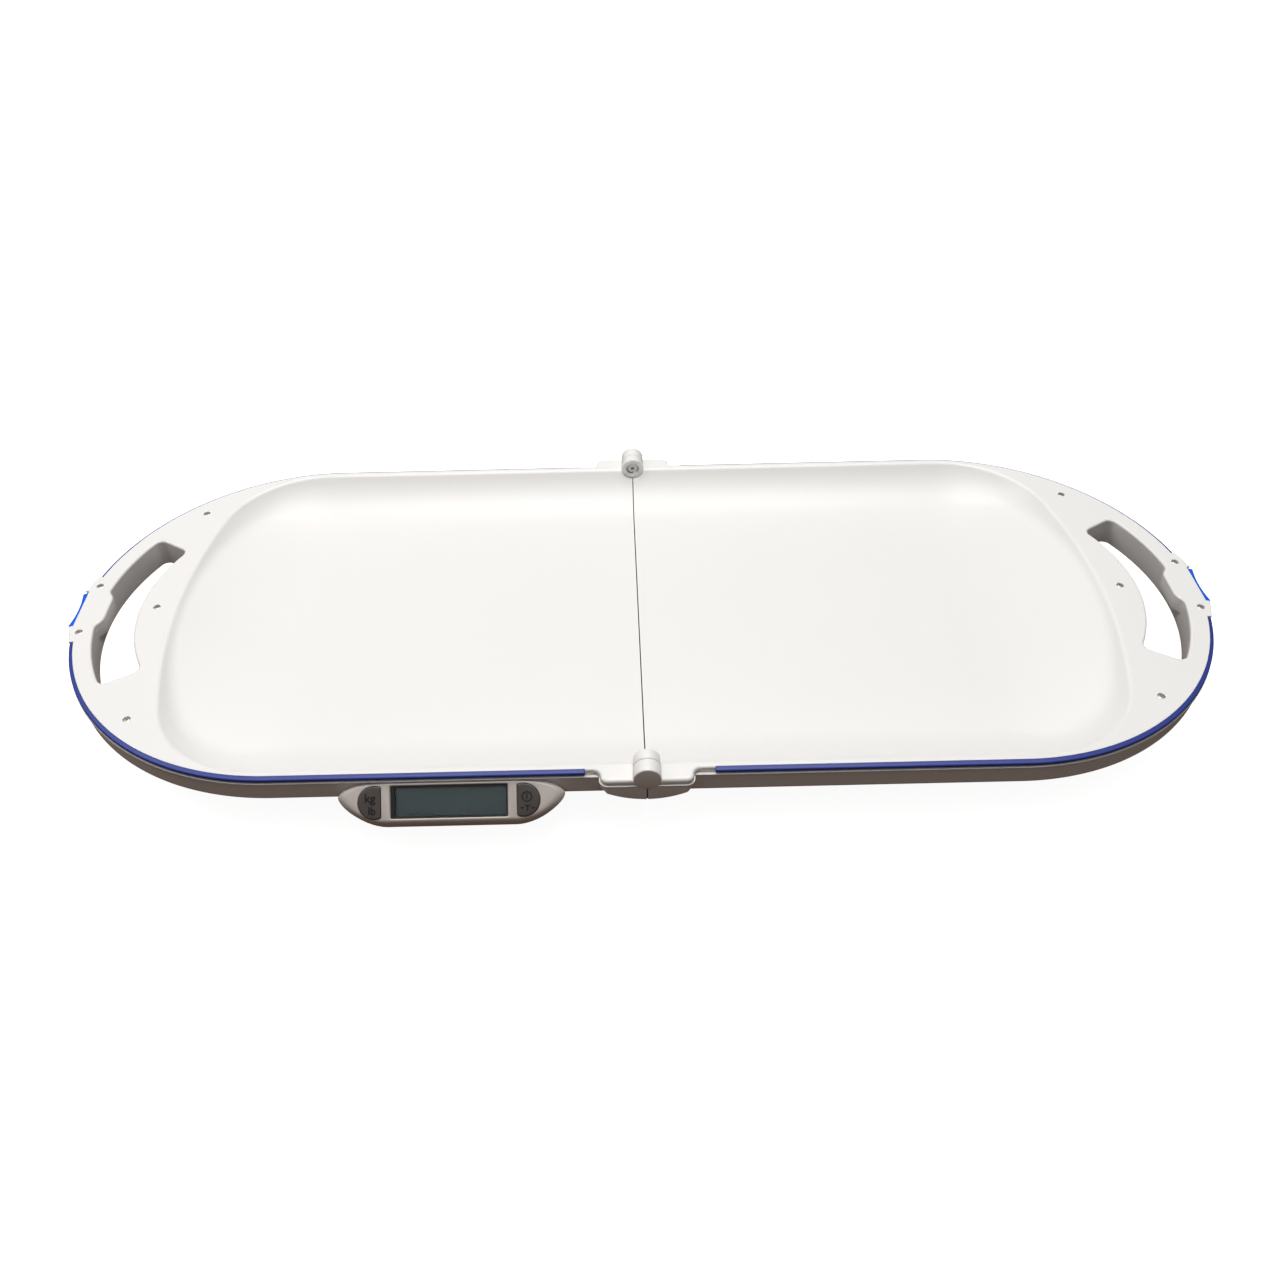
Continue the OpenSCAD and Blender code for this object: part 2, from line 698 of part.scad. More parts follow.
module latch_button() {
  difference() {
    union() {
      slab(latch_bottom, latch_top) difference() {
        translate([-latch_face_x - latch_hollow, -latch_half_w]) square([latch_depth, 2 * latch_half_w]);
        translate([-latch_face_x - latch_hollow_r, 0]) circle(latch_hollow_r, $fn = 200);
      }
      slab(latch_bottom + 1, parting - 2) {
        translate([-latch_back_x - 0.1, -latch_half_w + 1]) square([lug_x + lug_t + 0.1, 2 * latch_half_w - 2]);
        translate([-latch_back_x + lug_x, -bezel_half_w - lug_w]) square([lug_t, 2 * (bezel_half_w + lug_w)]);
      }
      translate([-latch_back_x - 0.1, 0, latch_mid_z]) rotate([0, 90, 0]) cylinder(r = stem_r - 0.2, h = stem_l);
    }
    translate([-latch_back_x - 4, -latch_half_w + 2, latch_bottom - 1])
      cube([2.6, 2 * latch_half_w - 4, latch_top - latch_bottom - 1.5]);
  }
}

module latch_spring() {
  reach = latch_back_x - stem_l - boss_wall_x;
  translate([-latch_back_x + stem_l, 0, latch_mid_z]) rotate([0, 90, 0]) difference() {
    cylinder(r = stem_r - 0.4, h = reach - fit);
    translate([0, 0, -1]) cylinder(r = stem_r - 0.4 - spring_t, h = reach + 2);
  }
}

module hinge_pin_front() {
  difference() {
    union() {
      on_hinge(pin_r, barrel_y1 + cbore_depth - 0.6, pin_end_y - fit, -1);
      on_hinge(pin_head_r, barrel_y1 + cbore_depth - 1.1, barrel_y1 + cbore_depth - fit, -1);
    }
    on_hinge(wire_bore_r, barrel_y1, pin_end_y + 1, -1);
  }
}

module hinge_cap_front() { on_hinge(cbore_r - fit, barrel_y1 + 0.1, barrel_y1 + 0.9, -1); }

module hinge_screw_back() {
  difference() {
    union() {
      on_hinge(pin_r, barrel_y1 + cbore_depth - 0.6, pin_end_y - fit, 1);
      on_hinge(pin_head_r, barrel_y1 + cbore_depth - 2.6, barrel_y1 + cbore_depth - fit, 1);
    }
    on_hinge(1.6, barrel_y1 - 1, barrel_y1 + cbore_depth - 1.2, 1, $fn = 6);
  }
}

module load_cells() {
  for (p = foot_places) translate([p[0], p[1], cell_z]) {
    difference() {
      translate([-cell_w / 2, -cell_w / 2, 0]) cube([cell_w, cell_w, cell_t]);
      for (s = [-1, 1]) translate([-cell_w / 2 + 5, s > 0 ? 5.5 : -9, -1]) cube([cell_w - 12, 3.5, cell_t + 2]);
      translate([cell_w / 2 - 10.5, -9, -1]) cube([3.5, 18, cell_t + 2]);
    }
    translate([-6, -3, cell_t]) cube([9, 6, 0.8]);
  }
}

module foot_cups() {
  for (p = foot_places) translate([p[0], p[1], 0]) difference() {
    union() {
      translate([0, 0, foot_t - 1.2]) cylinder(r = cup_r, h = floor_z - foot_t + 1.2);
      translate([0, 0, floor_z - 0.1]) cylinder(r = 5, h = cell_z - floor_z + 0.1);
    }
    translate([0, 0, -1]) cylinder(r = foot_r + fit, h = foot_t + 1);
  }
}

module foot_pads() {
  for (p = foot_places) translate([p[0], p[1], 0]) difference() {
    cylinder(r = foot_r, h = foot_t);
    translate([0, 0, -1]) rotate_extrude() translate([foot_r - 3.5, 0]) square([1, 1.4]);
  }
}

function unit(v) = v / norm(v);

// Carries a ring of points along d to the plane through p that is square to n.
function carried(ring, d, p, n) = [for (q = ring) q + d * ((p - q) * n / (d * n))];

// Rings of a wire's outline at its points. At a bend the ring lies in the plane that halves it.
function wire_rings(points, ring, i) = i == len(points) ? [] : let(
  d = unit(points[i] - points[i - 1]),
  n = i == len(points) - 1 ? d : d + unit(points[i + 1] - points[i]),
  next = carried(ring, d, points[i], n)
) concat([next], wire_rings(points, next, i + 1));

// A run of insulated wire through a list of points.
module wire(points) {
  d = unit(points[1] - points[0]);
  u = unit(cross(d, abs(d[2]) < 0.9 ? [0, 0, 1] : [1, 0, 0]));
  v = cross(d, u);
  first = [for (k = [0 : wire_sides - 1])
    points[0] + wire_r * (cos(360 * k / wire_sides) * u + sin(360 * k / wire_sides) * v)];
  rings = concat([first], wire_rings(points, first, 1));
  last = len(rings) - 1;
  polyhedron(
    points = [for (ring = rings, q = ring) q],
    faces = concat(
      [[for (k = [0 : wire_sides - 1]) k]],
      [for (i = [0 : last - 1], k = [0 : wire_sides - 1]) let(m = (k + 1) % wire_sides)
        [i * wire_sides + m, i * wire_sides + k, (i + 1) * wire_sides + k, (i + 1) * wire_sides + m]],
      [[for (k = [wire_sides - 1 : -1 : 0]) last * wire_sides + k]]
    )
  );
}

mid_y = split_y + 0.15;
wire_floor = floor_z + 2;
junction_x = 168;
// The cable's way down beside the bed.
cable_y = [rim_r - 20.5, rim_r - 28.5, rim_r - 41.5];
cable_z = [rim_h - 20, rim_h - 34];

module wiring_left() {
  wire([
    [0, -mid_y + 0.15, hinge_z], [0, -wire_y_left, hinge_z], [-12, -wire_y_left, hinge_z - 12],
    [-12, -wire_y_left, 44], [-14, -cable_y[0], cable_z[0]], [-20, -cable_y[1], cable_z[1]],
    [-60, -cable_y[2], wire_floor],
    [board_x + board_l / 2 + 1, board_y, wire_floor + 3]
  ]);
  for (p = foot_places) {
    out = p[0] < -foot_x2 / 2 ? -1 : 1;
    back = p[1] > 0;
    wire(concat(
      [[p[0] - 20 * out, p[1], cell_z + cell_t / 2], [p[0] - 24 * out, p[1] * 0.8, wire_floor]],
      // The lead of the far back foot goes round the battery bay.
      out < 0 && back ? [[-bay_x - door_half_x - 14, -door_half_y - 16, wire_floor]] : [],
      [
        [board_x + out * (board_l / 2 + 6), board_y + (back ? 30 : 24), wire_floor],
        [board_x + out * (board_l / 2 - 14), board_y + board_d / 2 + (back ? 3 : 1), wire_floor + 2]
      ]
    ));
  }
}

module wiring_right() {
  right() wire([
    [0, mid_y + 0.15, hinge_z], [0, wire_y_right, hinge_z], [-cable_x, wire_y_right, hinge_z - cable_x],
    [-cable_x, rim_r - 8, hinge_z - cable_x], [-14, cable_y[0], cable_z[0]], [-20, cable_y[1], cable_z[1]],
    [-60, 60, wire_floor],
    [-junction_x + 18, 10, wire_floor + 2]
  ]);
  right() for (p = foot_places) {
    out = p[0] < -foot_x2 / 2 ? -1 : 1;
    back = p[1] > 0 ? 1 : -1;
    wire([
      [p[0] - 20 * out, p[1], cell_z + cell_t / 2],
      [-junction_x + 20 * out, 20 * back, wire_floor],
      [-junction_x + 12 * out, 13 * back, wire_floor + 1]
    ]);
  }
}

module junction_board() {
  right() translate([-junction_x, 0, floor_z + 0.2]) {
    translate([-18, -12, 0]) cube([36, 24, board_t]);
    for (s = [-1, 1]) translate([s * 10 - 3, -6, board_t]) cube([6, 12, 4]);
  }
}

module main_board() {
  translate([board_x, board_y, floor_z + board_post_h + fit]) difference() {
    union() {
      translate([-board_l / 2, -board_d / 2, 0]) cube([board_l, board_d, board_t]);
      translate([-18, -9, board_t]) cube([14, 14, 1.6]);
      translate([8, -6, board_t]) cube([9, 6, 1.5]);
      for (x = [24, 32]) translate([x, 6, board_t]) cylinder(r = 3, h = 7);
      translate([-38, -5, board_t]) cube([7, 12, 5.5]);
      translate([-10, 9, board_t]) cube([20, 5, 4.5]);
    }
    for (p = board_places) translate([p[0] - board_x, p[1] - board_y, -1]) cylinder(r = screw_r + 0.2, h = 4);
  }
}

module board_screws() {
  for (p = board_places) translate([p[0], p[1], floor_z + board_post_h + fit + board_t]) screw(2.6, screw_r, 1.4, 4.5);
}

// Frame of the display's face: X along it, Y up its slope, Z out of it.
module on_face() {
  translate([-disp_x, -face_y, face_z]) rotate([face_angle, 0, 0]) children();
}

module face_plan(half_l, half_h) {
  for (s = [-1, 1]) translate([s * (half_l - half_h), 0]) circle(half_h);
  square([2 * (half_l - half_h), 2 * half_h], center = true);
}

// Plan of a half-moon key, grown by g; side is -1 for the left key.
module key_plan(side, g) {
  intersection() {
    translate([side * key_x, 0]) circle(key_r + g);
    translate([side > 0 ? key_x - key_flat - g : -key_x - key_r - 5, -20]) square([key_r + key_flat + g + 5, 40]);
  }
}

// The pod: its face swells backwards to a wider body, cut flat against the case's wall.
module pod_body() {
  hull() {
    on_face() slab(-0.6, 0) face_plan(face_half_l - 0.8, face_half_h - 0.8, $fn = 48);
    on_face() slab(-5, -1.2) face_plan(face_half_l + face_round / 2, face_half_h + face_round / 3, $fn = 48);
    on_face() slab(-12, -5) face_plan(face_half_l + 1.5 * face_round, face_half_h + face_round / 2, $fn = 48);
    translate([-disp_x - face_half_l - 1.5 * face_round, -rim_r, rim_h - housing_drop + 4])
      cube([2 * face_half_l + 3 * face_round, 2, housing_drop - 14]);
  }
}

module pod_limits(i) {
  translate([-disp_x - big / 2, -rim_r - 40, rim_h - housing_drop + i])
    cube([big, 40.5, housing_drop - i + parting - rim_h - ledge_h - fit]);
}

module display_housing() {
  difference() {
    intersection() {
      pod_body();
      pod_limits(0);
    }
    slab(0, rim_h) half_plan(housing_back, -10);
    // Hollow behind the face, open to the case's wall above the wall's lower edge.
    intersection() {
      on_face() slab(-40, -shell_t) face_plan(face_half_l - 1, face_half_h - 1.2);
      pod_limits(shell_t);
      union() {
        translate([-disp_x - big / 2, -rim_r - 40, side_bottom + fit]) cube([big, 50, side_h]);
        translate([-disp_x - big / 2, -rim_r - 40 - shell_t, 0]) cube([big, 40, rim_h]);
      }
    }
    on_face() {
      slab(-shell_t - 1, 1) square([window_w, window_h], center = true);
      for (s = [-1, 1]) slab(-shell_t - 1, 1) key_plan(s, key_hole_gap);
    }
  }
  for (s = [-1, 1]) difference() {
    intersection() {
      translate([-disp_x + s * boss_spread, -rim_r, housing_screw_z]) rotate([90, 0, 0]) cylinder(r = 3.4, h = 14);
      pod_body();
      pod_limits(0);
      translate([-disp_x - big / 2, -housing_back - 40, 0]) cube([big, 40, rim_h]);
    }
    translate([-disp_x + s * boss_spread, -rim_r, housing_screw_z]) rotate([90, 0, 0]) cylinder(r = screw_r + fit, h = 7);
    on_face() slab(-30, -shell_t - 0.2) key_plan(s, 1.8);
  }
}

module housing_screws() {
  for (s = [-1, 1]) translate([-disp_x + s * boss_spread, -rim_r + wall - 0.4, housing_screw_z])
    rotate([-90, 0, 0]) screw(2.6, screw_r, 1.4, 8);
}

module window_frame() {
  on_face() slab(-shell_t, -0.3) difference() {
    square([window_w - 2 * fit, window_h - 2 * fit], center = true);
    square([window_w - 2 * frame_t, window_h - 2 * frame_t], center = true);
  }
}

module display_window() {
  on_face() slab(-shell_t - lens_t - fit, -shell_t - fit) square([window_w + 3, window_h + 2.5], center = true);
}

module lcd_module() {
  on_face() slab(board_w + board_t + fit, -shell_t - lens_t - 2 * fit) square([window_w + 2, window_h + 2], center = true);
}

module key_board() {
  on_face() slab(board_w, board_w + board_t) square([key_board_l, 2 * face_half_h - 5], center = true);
}

module key_switches() {
  on_face() for (s = [-1, 1]) translate([s * key_x, 0, board_w + board_t]) {
    translate([-3, -3, 0]) cube([6, 6, switch_h]);
    translate([0, 0, switch_h - 0.1]) cylinder(r = 1.6, h = plunger_h + 0.1);
  }
}

module key(side) {
  on_face() {
    slab(-shell_t - 0.3, key_out) key_plan(side, 0);
    slab(-shell_t - fit - flange_t, -shell_t - fit) key_plan(side, 1);
    translate([side * key_x, 0, key_stem_end]) cylinder(r = 2, h = -key_stem_end - shell_t - 0.5);
  }
}

module key_spring(side) {
  on_face() translate([side * key_x, 0, board_w + board_t + fit]) difference() {
    cylinder(r = 5.4, h = -shell_t - 2 * fit - flange_t - board_w - board_t - fit);
    translate([0, 0, -1]) cylinder(r = 4.6, h = 12);
  }
}

bay_z = floor_z + fit;

module battery_tray() {
  translate([-bay_x, 0, 0]) difference() {
    union() {
      translate([-bay_half_x - tray_wall - 1, -bay_half_y - tray_wall - 1, bay_z])
        cube([2 * (bay_half_x + tray_wall + 1), 2 * (bay_half_y + tray_wall + 1), 1.4]);
      translate([-bay_half_x - tray_wall, -bay_half_y - tray_wall, bay_z])
        cube([2 * (bay_half_x + tray_wall), 2 * (bay_half_y + tray_wall), tray_h + tray_wall]);
    }
    translate([-bay_half_x, -bay_half_y, bay_z - 1]) cube([2 * bay_half_x, 2 * bay_half_y, tray_h + 1]);
  }
}

function cell_row_y(i) = (i - (battery_n - 1) / 2) * (2 * battery_r + bay_gap);

module battery_cells() {
  for (i = [0 : battery_n - 1]) translate([-bay_x, cell_row_y(i), bay_z + tray_h - battery_r - 0.3])
    scale([i % 2 == 0 ? 1 : -1, 1, 1]) rotate([0, 90, 0]) {
      cylinder(r = battery_r, h = battery_l - 1.5, center = true);
      cylinder(r = 2.6, h = battery_l / 2 + 0.2);
    }
}

module battery_contacts() {
  for (i = [0 : battery_n - 1], s = [-1, 1])
    translate([-bay_x + s * (bay_half_x - 0.9) - 0.4, cell_row_y(i) - 5, bay_z + tray_h - battery_r - 5.3])
      cube([0.8, 10, 10]);
}

module battery_door() {
  z1 = belly_h - door_t - slide_gap;
  difference() {
    translate([-bay_x - door_half_x, -door_half_y, z1]) cube([2 * door_half_x, 2 * door_half_y, door_t]);
    for (i = [0 : 4]) translate([-bay_x - door_half_x + 6 + 3 * i, -12, z1 - 1]) cube([1.2, 24, 1.6]);
  }
}

color(shell_white) upper_tray();  // upper_tray_left
color(shell_white) right() upper_tray();  // upper_tray_right
color(shell_white) lower_case_left();
color(shell_white) right() lower_case();  // lower_case_right
color(trim_blue) trim_strip(-1, strip_start_front);  // trim_strip_left_front
color(trim_blue) trim_strip(1, strip_start_back);  // trim_strip_left_back
color(trim_blue) right() trim_strip(1, strip_start_back);  // trim_strip_right_front
color(trim_blue) right() trim_strip(-1, strip_start_front);  // trim_strip_right_back
color(steel) tray_screws();  // tray_screws_left
color(steel) right() tray_screws();  // tray_screws_right
color(latch_blue) latch_button();  // latch_button_left
color(latch_blue) right() latch_button();  // latch_button_right
color(steel) latch_spring();  // latch_spring_left
color(steel) right() latch_spring();  // latch_spring_right
color(steel) hinge_pin_front();
color(shell_white) hinge_cap_front();
color(steel) hinge_screw_back();
color(steel) load_cells();  // load_cells_left
color(steel) right() load_cells();  // load_cells_right
color(shell_white) foot_cups();  // foot_cups_left
color(shell_white) right() foot_cups();  // foot_cups_right
color(rubber) foot_pads();  // foot_pads_left
color(rubber) right() foot_pads();  // foot_pads_right
color(dark) wiring_left();
color(dark) wiring_right();
color(board_green) junction_board();
color(board_green) main_board();
color(steel) board_screws();
color(pod_grey) display_housing();
color(dark) window_frame();
color(lcd_grey) display_window();
color(dark) lcd_module();
color(board_green) key_board();
color(dark) key_switches();
color(key_grey) key(-1);  // unit_key
color(key_grey) key(1);  // power_key
color(steel) key_spring(-1);  // key_spring_unit
color(steel) key_spring(1);  // key_spring_power
color(steel) housing_screws();
color(dark) battery_tray();
color(copper) battery_cells();
color(steel) battery_contacts();
color(shell_white) battery_door();
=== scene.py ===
"""A folding baby scale, standing open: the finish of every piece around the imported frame.

Shapes are worked out in millimetres, in the frame's axes, and turned to metres when a mesh is made.
Both halves come from the same moulds, so the right half is the left one turned half a turn about Z.
"""

import json
import math

import bmesh
import bpy
import numpy as np
from mathutils import Matrix, Vector
from mathutils.geometry import delaunay_2d_cdt


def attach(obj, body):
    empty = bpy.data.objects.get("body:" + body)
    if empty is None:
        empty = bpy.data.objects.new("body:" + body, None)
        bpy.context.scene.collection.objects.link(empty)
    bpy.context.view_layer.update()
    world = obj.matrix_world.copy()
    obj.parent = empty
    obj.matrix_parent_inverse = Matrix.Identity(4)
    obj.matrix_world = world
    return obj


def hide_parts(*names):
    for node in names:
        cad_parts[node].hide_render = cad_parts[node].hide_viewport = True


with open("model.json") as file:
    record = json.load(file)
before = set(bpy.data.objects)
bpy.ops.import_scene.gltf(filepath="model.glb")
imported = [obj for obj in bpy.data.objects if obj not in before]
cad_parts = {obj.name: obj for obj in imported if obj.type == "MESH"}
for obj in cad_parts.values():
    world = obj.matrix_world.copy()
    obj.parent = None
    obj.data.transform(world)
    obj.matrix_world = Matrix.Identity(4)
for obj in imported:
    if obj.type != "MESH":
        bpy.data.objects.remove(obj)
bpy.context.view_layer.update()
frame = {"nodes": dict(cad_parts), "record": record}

MM = 0.001
HALF_TURN = Matrix.Rotation(math.pi, 4, "Z")
HALVES = (("left", None), ("right", HALF_TURN))
SHARP = math.radians(32)

# Tray
RIM_R, END_X, RIM_Z, SEAM_X = 176.5, 253.0, 60.0, 0.4
PLATE_T, LIP_T = 3.0, 1.2
BED_DEPTH, BED_SIDE_R, BED_HALF_W = 24.0, 60.0, 171.0
BED_END_X, BED_END_R, BED_CORNER_R = 356.0, 450.0, 80.0
BED_SLOPE_R, BED_LIP = 260.0, 4.0
BED_LIP_R = 4.5
STRIP_H, STRIP_SEAT, STRIP_OUT = 5.0, 2.5, 2.0
STRIP_START = {-1: 41.0, 1: 45.5}
STRIP_END_Y, LATCH_HALF_W, LATCH_GAP, BEZEL_OUT = 38.0, 20.0, 0.3, 2.5
# Degrees from the middle of the round end to where the trim strips and the latch opening end.
STRIP_END, LATCH_END = (math.degrees(math.asin(y / RIM_R)) for y in (STRIP_END_Y, LATCH_HALF_W + LATCH_GAP))
PARTING = RIM_Z - LIP_T - STRIP_H
# The trim strip's shown top edge, its foot, where the plate ends beside it, and the latch's straight plate edge.
STRIP_TOP, STRIP_FOOT, PLATE_IN, LATCH_EDGE_X = 59.85, 55.4, 1.0, -430.2
# Hinge
EAR_X, EAR_Y, EAR_R, EAR_DROP = 31.0, 187.0, 58.6, 18.6
HINGE_Z, BARREL_R, BARREL_GAP = 62.0, 9.2, 0.35
KNUCKLE_IN, KNUCKLE_SPLIT, KNUCKLE_OUT, HINGE_END = 168.5, 177.1, 177.4, 188.0
# Handle hole
HOLE_R1, HOLE_R2, HOLE_ANGLE, HOLE_CORNER_R = 131.7, 162.0, 31.7, 6.0
BOSS_IN, BOSS_HALF_W, BOSS_FLANK = 6.0, 14.0, 8.0
# Lower case
SIDE_BOTTOM, BELLY_Z, CASE_OUT, LEDGE_OUT, LEDGE_H, CASE_WALL = 37.0, 8.0, 0.5, 2.3, 1.0, 2.5
CASE_TOP, POST_TOP = PARTING - 0.1, 56.8
LATCH_Z, LATCH_FLOOR = (46.7, 58.7), 46.4
BOSS_BOTTOM, BOSS_FLOOR_T = 47.2, 2.0
FEET, FOOT_HOLE_R = [(x, y) for x in (-48, -288) for y in (-104, 104)], 14
BAY_X, BAY_Y, RAIL_X = (-218.3, -161.7), 30.2, (-224.3, -132.2)
# Screws
SCREWS = [(-361, 120), (-361, -120), (-371.5, 0), (-423.5, 27), (-423.5, -27)]
# Display housing
DISP_X, FACE_Y, FACE_Z = 132.0, -187.8, 44.4
WINDOW_W, WINDOW_H = 78.0, 21.5
KEY_X, KEY_R, KEY_FLAT = 49.6, 11.0, 4.2


# ---- outlines and skins

class Path:
    """An outline in plan: points, and the unit normals on the left of the way it runs."""

    def __init__(self):
        self.points, self.normals = [], []

    def line(self, a, b, count):
        a, b = np.array(a, float), np.array(b, float)
        way = (b - a) / np.linalg.norm(b - a)
        for i in range(count + 1):
            self.points.append(a + (b - a) * i / count)
            self.normals.append((-way[1], way[0]))
        return self

    def arc(self, centre, radius, start, end, count):
        side = -1 if end > start else 1
        for i in range(count + 1):
            a = math.radians(start + (end - start) * i / count)
            unit = np.array((math.cos(a), math.sin(a)))
            self.points.append(np.array(centre, float) + radius * unit)
            self.normals.append(side * unit)
        return self

    def done(self):
        self.points, self.normals = np.array(self.points), np.array(self.normals)
        return self

    def at(self, offset):
        """The outline moved to its left by offset, one number or one for each point."""
        return self.points + self.normals * np.reshape(offset, (-1, 1))

    def level(self, offset, z):
        """The outline moved by offset, at height z, as rows of three numbers."""
        plan = self.at(offset)
        return np.column_stack((plan, np.broadcast_to(z, len(plan))))

    def levels(self, spots):
        return [self.level(offset, z) for offset, z in spots]


def quarter(start, end, steps=6):
    """Points of a quarter of an ellipse from start to end, leaving start along the first number."""
    out = []
    for i in range(steps + 1):
        a = math.pi / 2 * i / steps
        run, rise = math.sin(a), 1 - math.cos(a)
        out.append((start[0] + (end[0] - start[0]) * run, start[1] + (end[1] - start[1]) * rise))
    return out


def quarter_down(start, end, steps=6):
    """The same, leaving start along the second number."""
    return quarter(end, start, steps)[::-1]


class Skin:
    """Collects the faces of a closed mesh, in millimetres."""

    def __init__(self):
        self.verts, self.faces = [], []

    def strip(self, rows, closed=False):
        base, count = len(self.verts), len(rows[0])
        for row in rows:
            self.verts += [tuple(p) for p in row]
        for j in range(len(rows) - 1):
            for i in range(count if closed else count - 1):
                k = (i + 1) % count
                low, high = base + j * count, base + (j + 1) * count
                self.faces.append((low + i, low + k, high + k, high + i))
        return self

    def flat(self, loops, z):
        """A level face at z inside the first loop and outside the others."""
        plan, rings = [], []
        for loop in loops:
            rings.append(list(range(len(plan), len(plan) + len(loop))))
            plan += [Vector((float(p[0]), float(p[1]))) for p in loop]
        verts, _, faces, *_ = delaunay_2d_cdt(plan, [], rings, 2, 1e-5)
        base = len(self.verts)
        self.verts += [(v[0], v[1], z) for v in verts]
        self.faces += [tuple(base + i for i in f) for f in faces]
        return self

    def cap(self, loop):
        base = len(self.verts)
        self.verts += [tuple(p) for p in loop]
        self.faces.append(tuple(range(base, base + len(loop))))
        return self

    def solid(self, rows):
        """A closed shape round rows, capped at the first and the last."""
        return self.strip(rows, closed=True).cap(rows[0]).cap(rows[-1])

    def lathe(self, profile, centre, axis, count, closed=True):
        """A turned shape: profile holds (radius, distance along the axis)."""
        rows = []
        for radius, along in profile:
            row = []
            for i in range(count):
                a = 2 * math.pi * i / count
                u, v = radius * math.cos(a), radius * math.sin(a)
                row.append({"z": (u, v, along), "y": (u, along, v), "x": (along, u, v)}[axis])
            rows.append(np.array(row) + np.array(centre))
        return self.solid(rows) if closed else self.strip(rows, closed=True)

    def prism(self, path, z0, z1, r0, r1, steps=4):
        """A block with this outline, its normals pointing in, with edges rounded by r0 below and r1 above."""
        spots = quarter((r0, z0), (0, z0 + r0), steps) + quarter_down((0, z1 - r1), (r1, z1), steps)
        return self.solid(path.levels(spots))

    def turned(self, matrix):
        self.verts = [tuple(matrix @ Vector(v)) for v in self.verts]
        return self

    def add(self, other):
        base = len(self.verts)
        self.verts += other.verts
        self.faces += [tuple(base + i for i in f) for f in other.faces]
        return self

    def build(self, fill_open=True):
        """A bmesh in metres, its rows joined and what is left open filled by flat faces."""
        bm = bmesh.new()
        made = [bm.verts.new(Vector(v) * MM) for v in self.verts]
        for face in self.faces:
            bm.faces.new([made[i] for i in face])
        bmesh.ops.remove_doubles(bm, verts=bm.verts, dist=2e-6)
        bmesh.ops.dissolve_degenerate(bm, edges=bm.edges, dist=1e-7)
        if fill_open:
            edges = [e for e in bm.edges if e.is_boundary]
            if edges:
                bmesh.ops.contextual_create(bm, geom=edges)
        bmesh.ops.triangulate(bm, faces=[f for f in bm.faces if len(f.verts) > 4])
        bmesh.ops.recalc_face_normals(bm, faces=bm.faces)
        return bm


def smooth(mesh):
    mesh.polygons.foreach_set("use_smooth", [True] * len(mesh.polygons))
    mesh.set_sharp_from_angle(angle=SHARP)


def placed(name, data):
    piece = bpy.data.objects.new(name, data)
    bpy.context.scene.collection.objects.link(piece)
    return piece


def piece_from(bm, name, material):
    mesh = bpy.data.meshes.new(name)
    bm.to_mesh(mesh)
    bm.free()
    smooth(mesh)
    mesh.materials.append(material)
    return placed(name, mesh)


def evaluated(piece):
    """The mesh that a piece's modifiers or its curve make."""
    bpy.context.view_layer.update()
    return bpy.data.meshes.new_from_object(piece.evaluated_get(bpy.context.evaluated_depsgraph_get()))


def dress(piece, body, slot, *nodes):
    """Says which body a piece moves with and which nodes it stands for; its slot, the name of a finish, is not used."""
    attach(piece, body)
    if nodes:
        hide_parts(*nodes)
    return piece


def cut(piece, *cutters):
    """Takes closed shapes away from a closed piece."""
    for skin in cutters:
        tool = piece_from(skin.build(), "cutter", piece.data.materials[0])
        step = piece.modifiers.new("cut", "BOOLEAN")
        step.operation, step.solver, step.object = "DIFFERENCE", "EXACT", tool
        result, old = evaluated(piece), piece.data
        piece.modifiers.remove(step)
        piece.data = result
        bpy.data.meshes.remove(old)
        bpy.data.objects.remove(tool)
    smooth(piece.data)
    return piece


def joined(parts, name, material, turn=None):
    """One piece from several closed shells, which are skins or pieces."""
    bm = bmesh.new()
    for part in parts:
        if isinstance(part, Skin):
            part = piece_from(part.build(fill_open=False), "shell", material)
        bm.from_mesh(part.data)
        bpy.data.objects.remove(part)
    if turn is not None:
        bmesh.ops.transform(bm, matrix=turn, verts=bm.verts)
    return piece_from(bm, name, material)


# ---- materials

GLOSS_SPREAD, GRAIN_DEPTH = 0.06, 0.0002


def blank(name):
    """A new material, its tree of nodes and its surface."""
    material = bpy.data.materials.new(name)
    material.use_nodes = True
    return material, material.node_tree, material.node_tree.nodes["Principled BSDF"]


def noise(tree, **inputs):
    """Noise over the object's own coordinates."""
    node = tree.nodes.new("ShaderNodeTexNoise")
    for name, value in inputs.items():
        node.inputs[name].default_value = value
    tree.links.new(tree.nodes.new("ShaderNodeTexCoord").outputs["Object"], node.inputs["Vector"])
    return node.outputs["Fac"]


def mapped(tree, source, low, high, start=0.0, end=1.0, kind="LINEAR"):
    """The source's range from start to end, turned into low to high."""
    node = tree.nodes.new("ShaderNodeMapRange")
    node.interpolation_type = kind
    for name, value in (("From Min", start), ("From Max", end), ("To Min", low), ("To Max", high)):
        node.inputs[name].default_value = value
    tree.links.new(source, node.inputs["Value"])
    return node.outputs["Result"]


def maths(tree, operation, *sources):
    """The result of an operation on sockets and plain numbers."""
    node = tree.nodes.new("ShaderNodeMath")
    node.operation = operation
    for socket, source in zip(node.inputs, sources):
        if isinstance(source, float):
            socket.default_value = source
        else:
            tree.links.new(source, socket)
    return node.outputs[0]


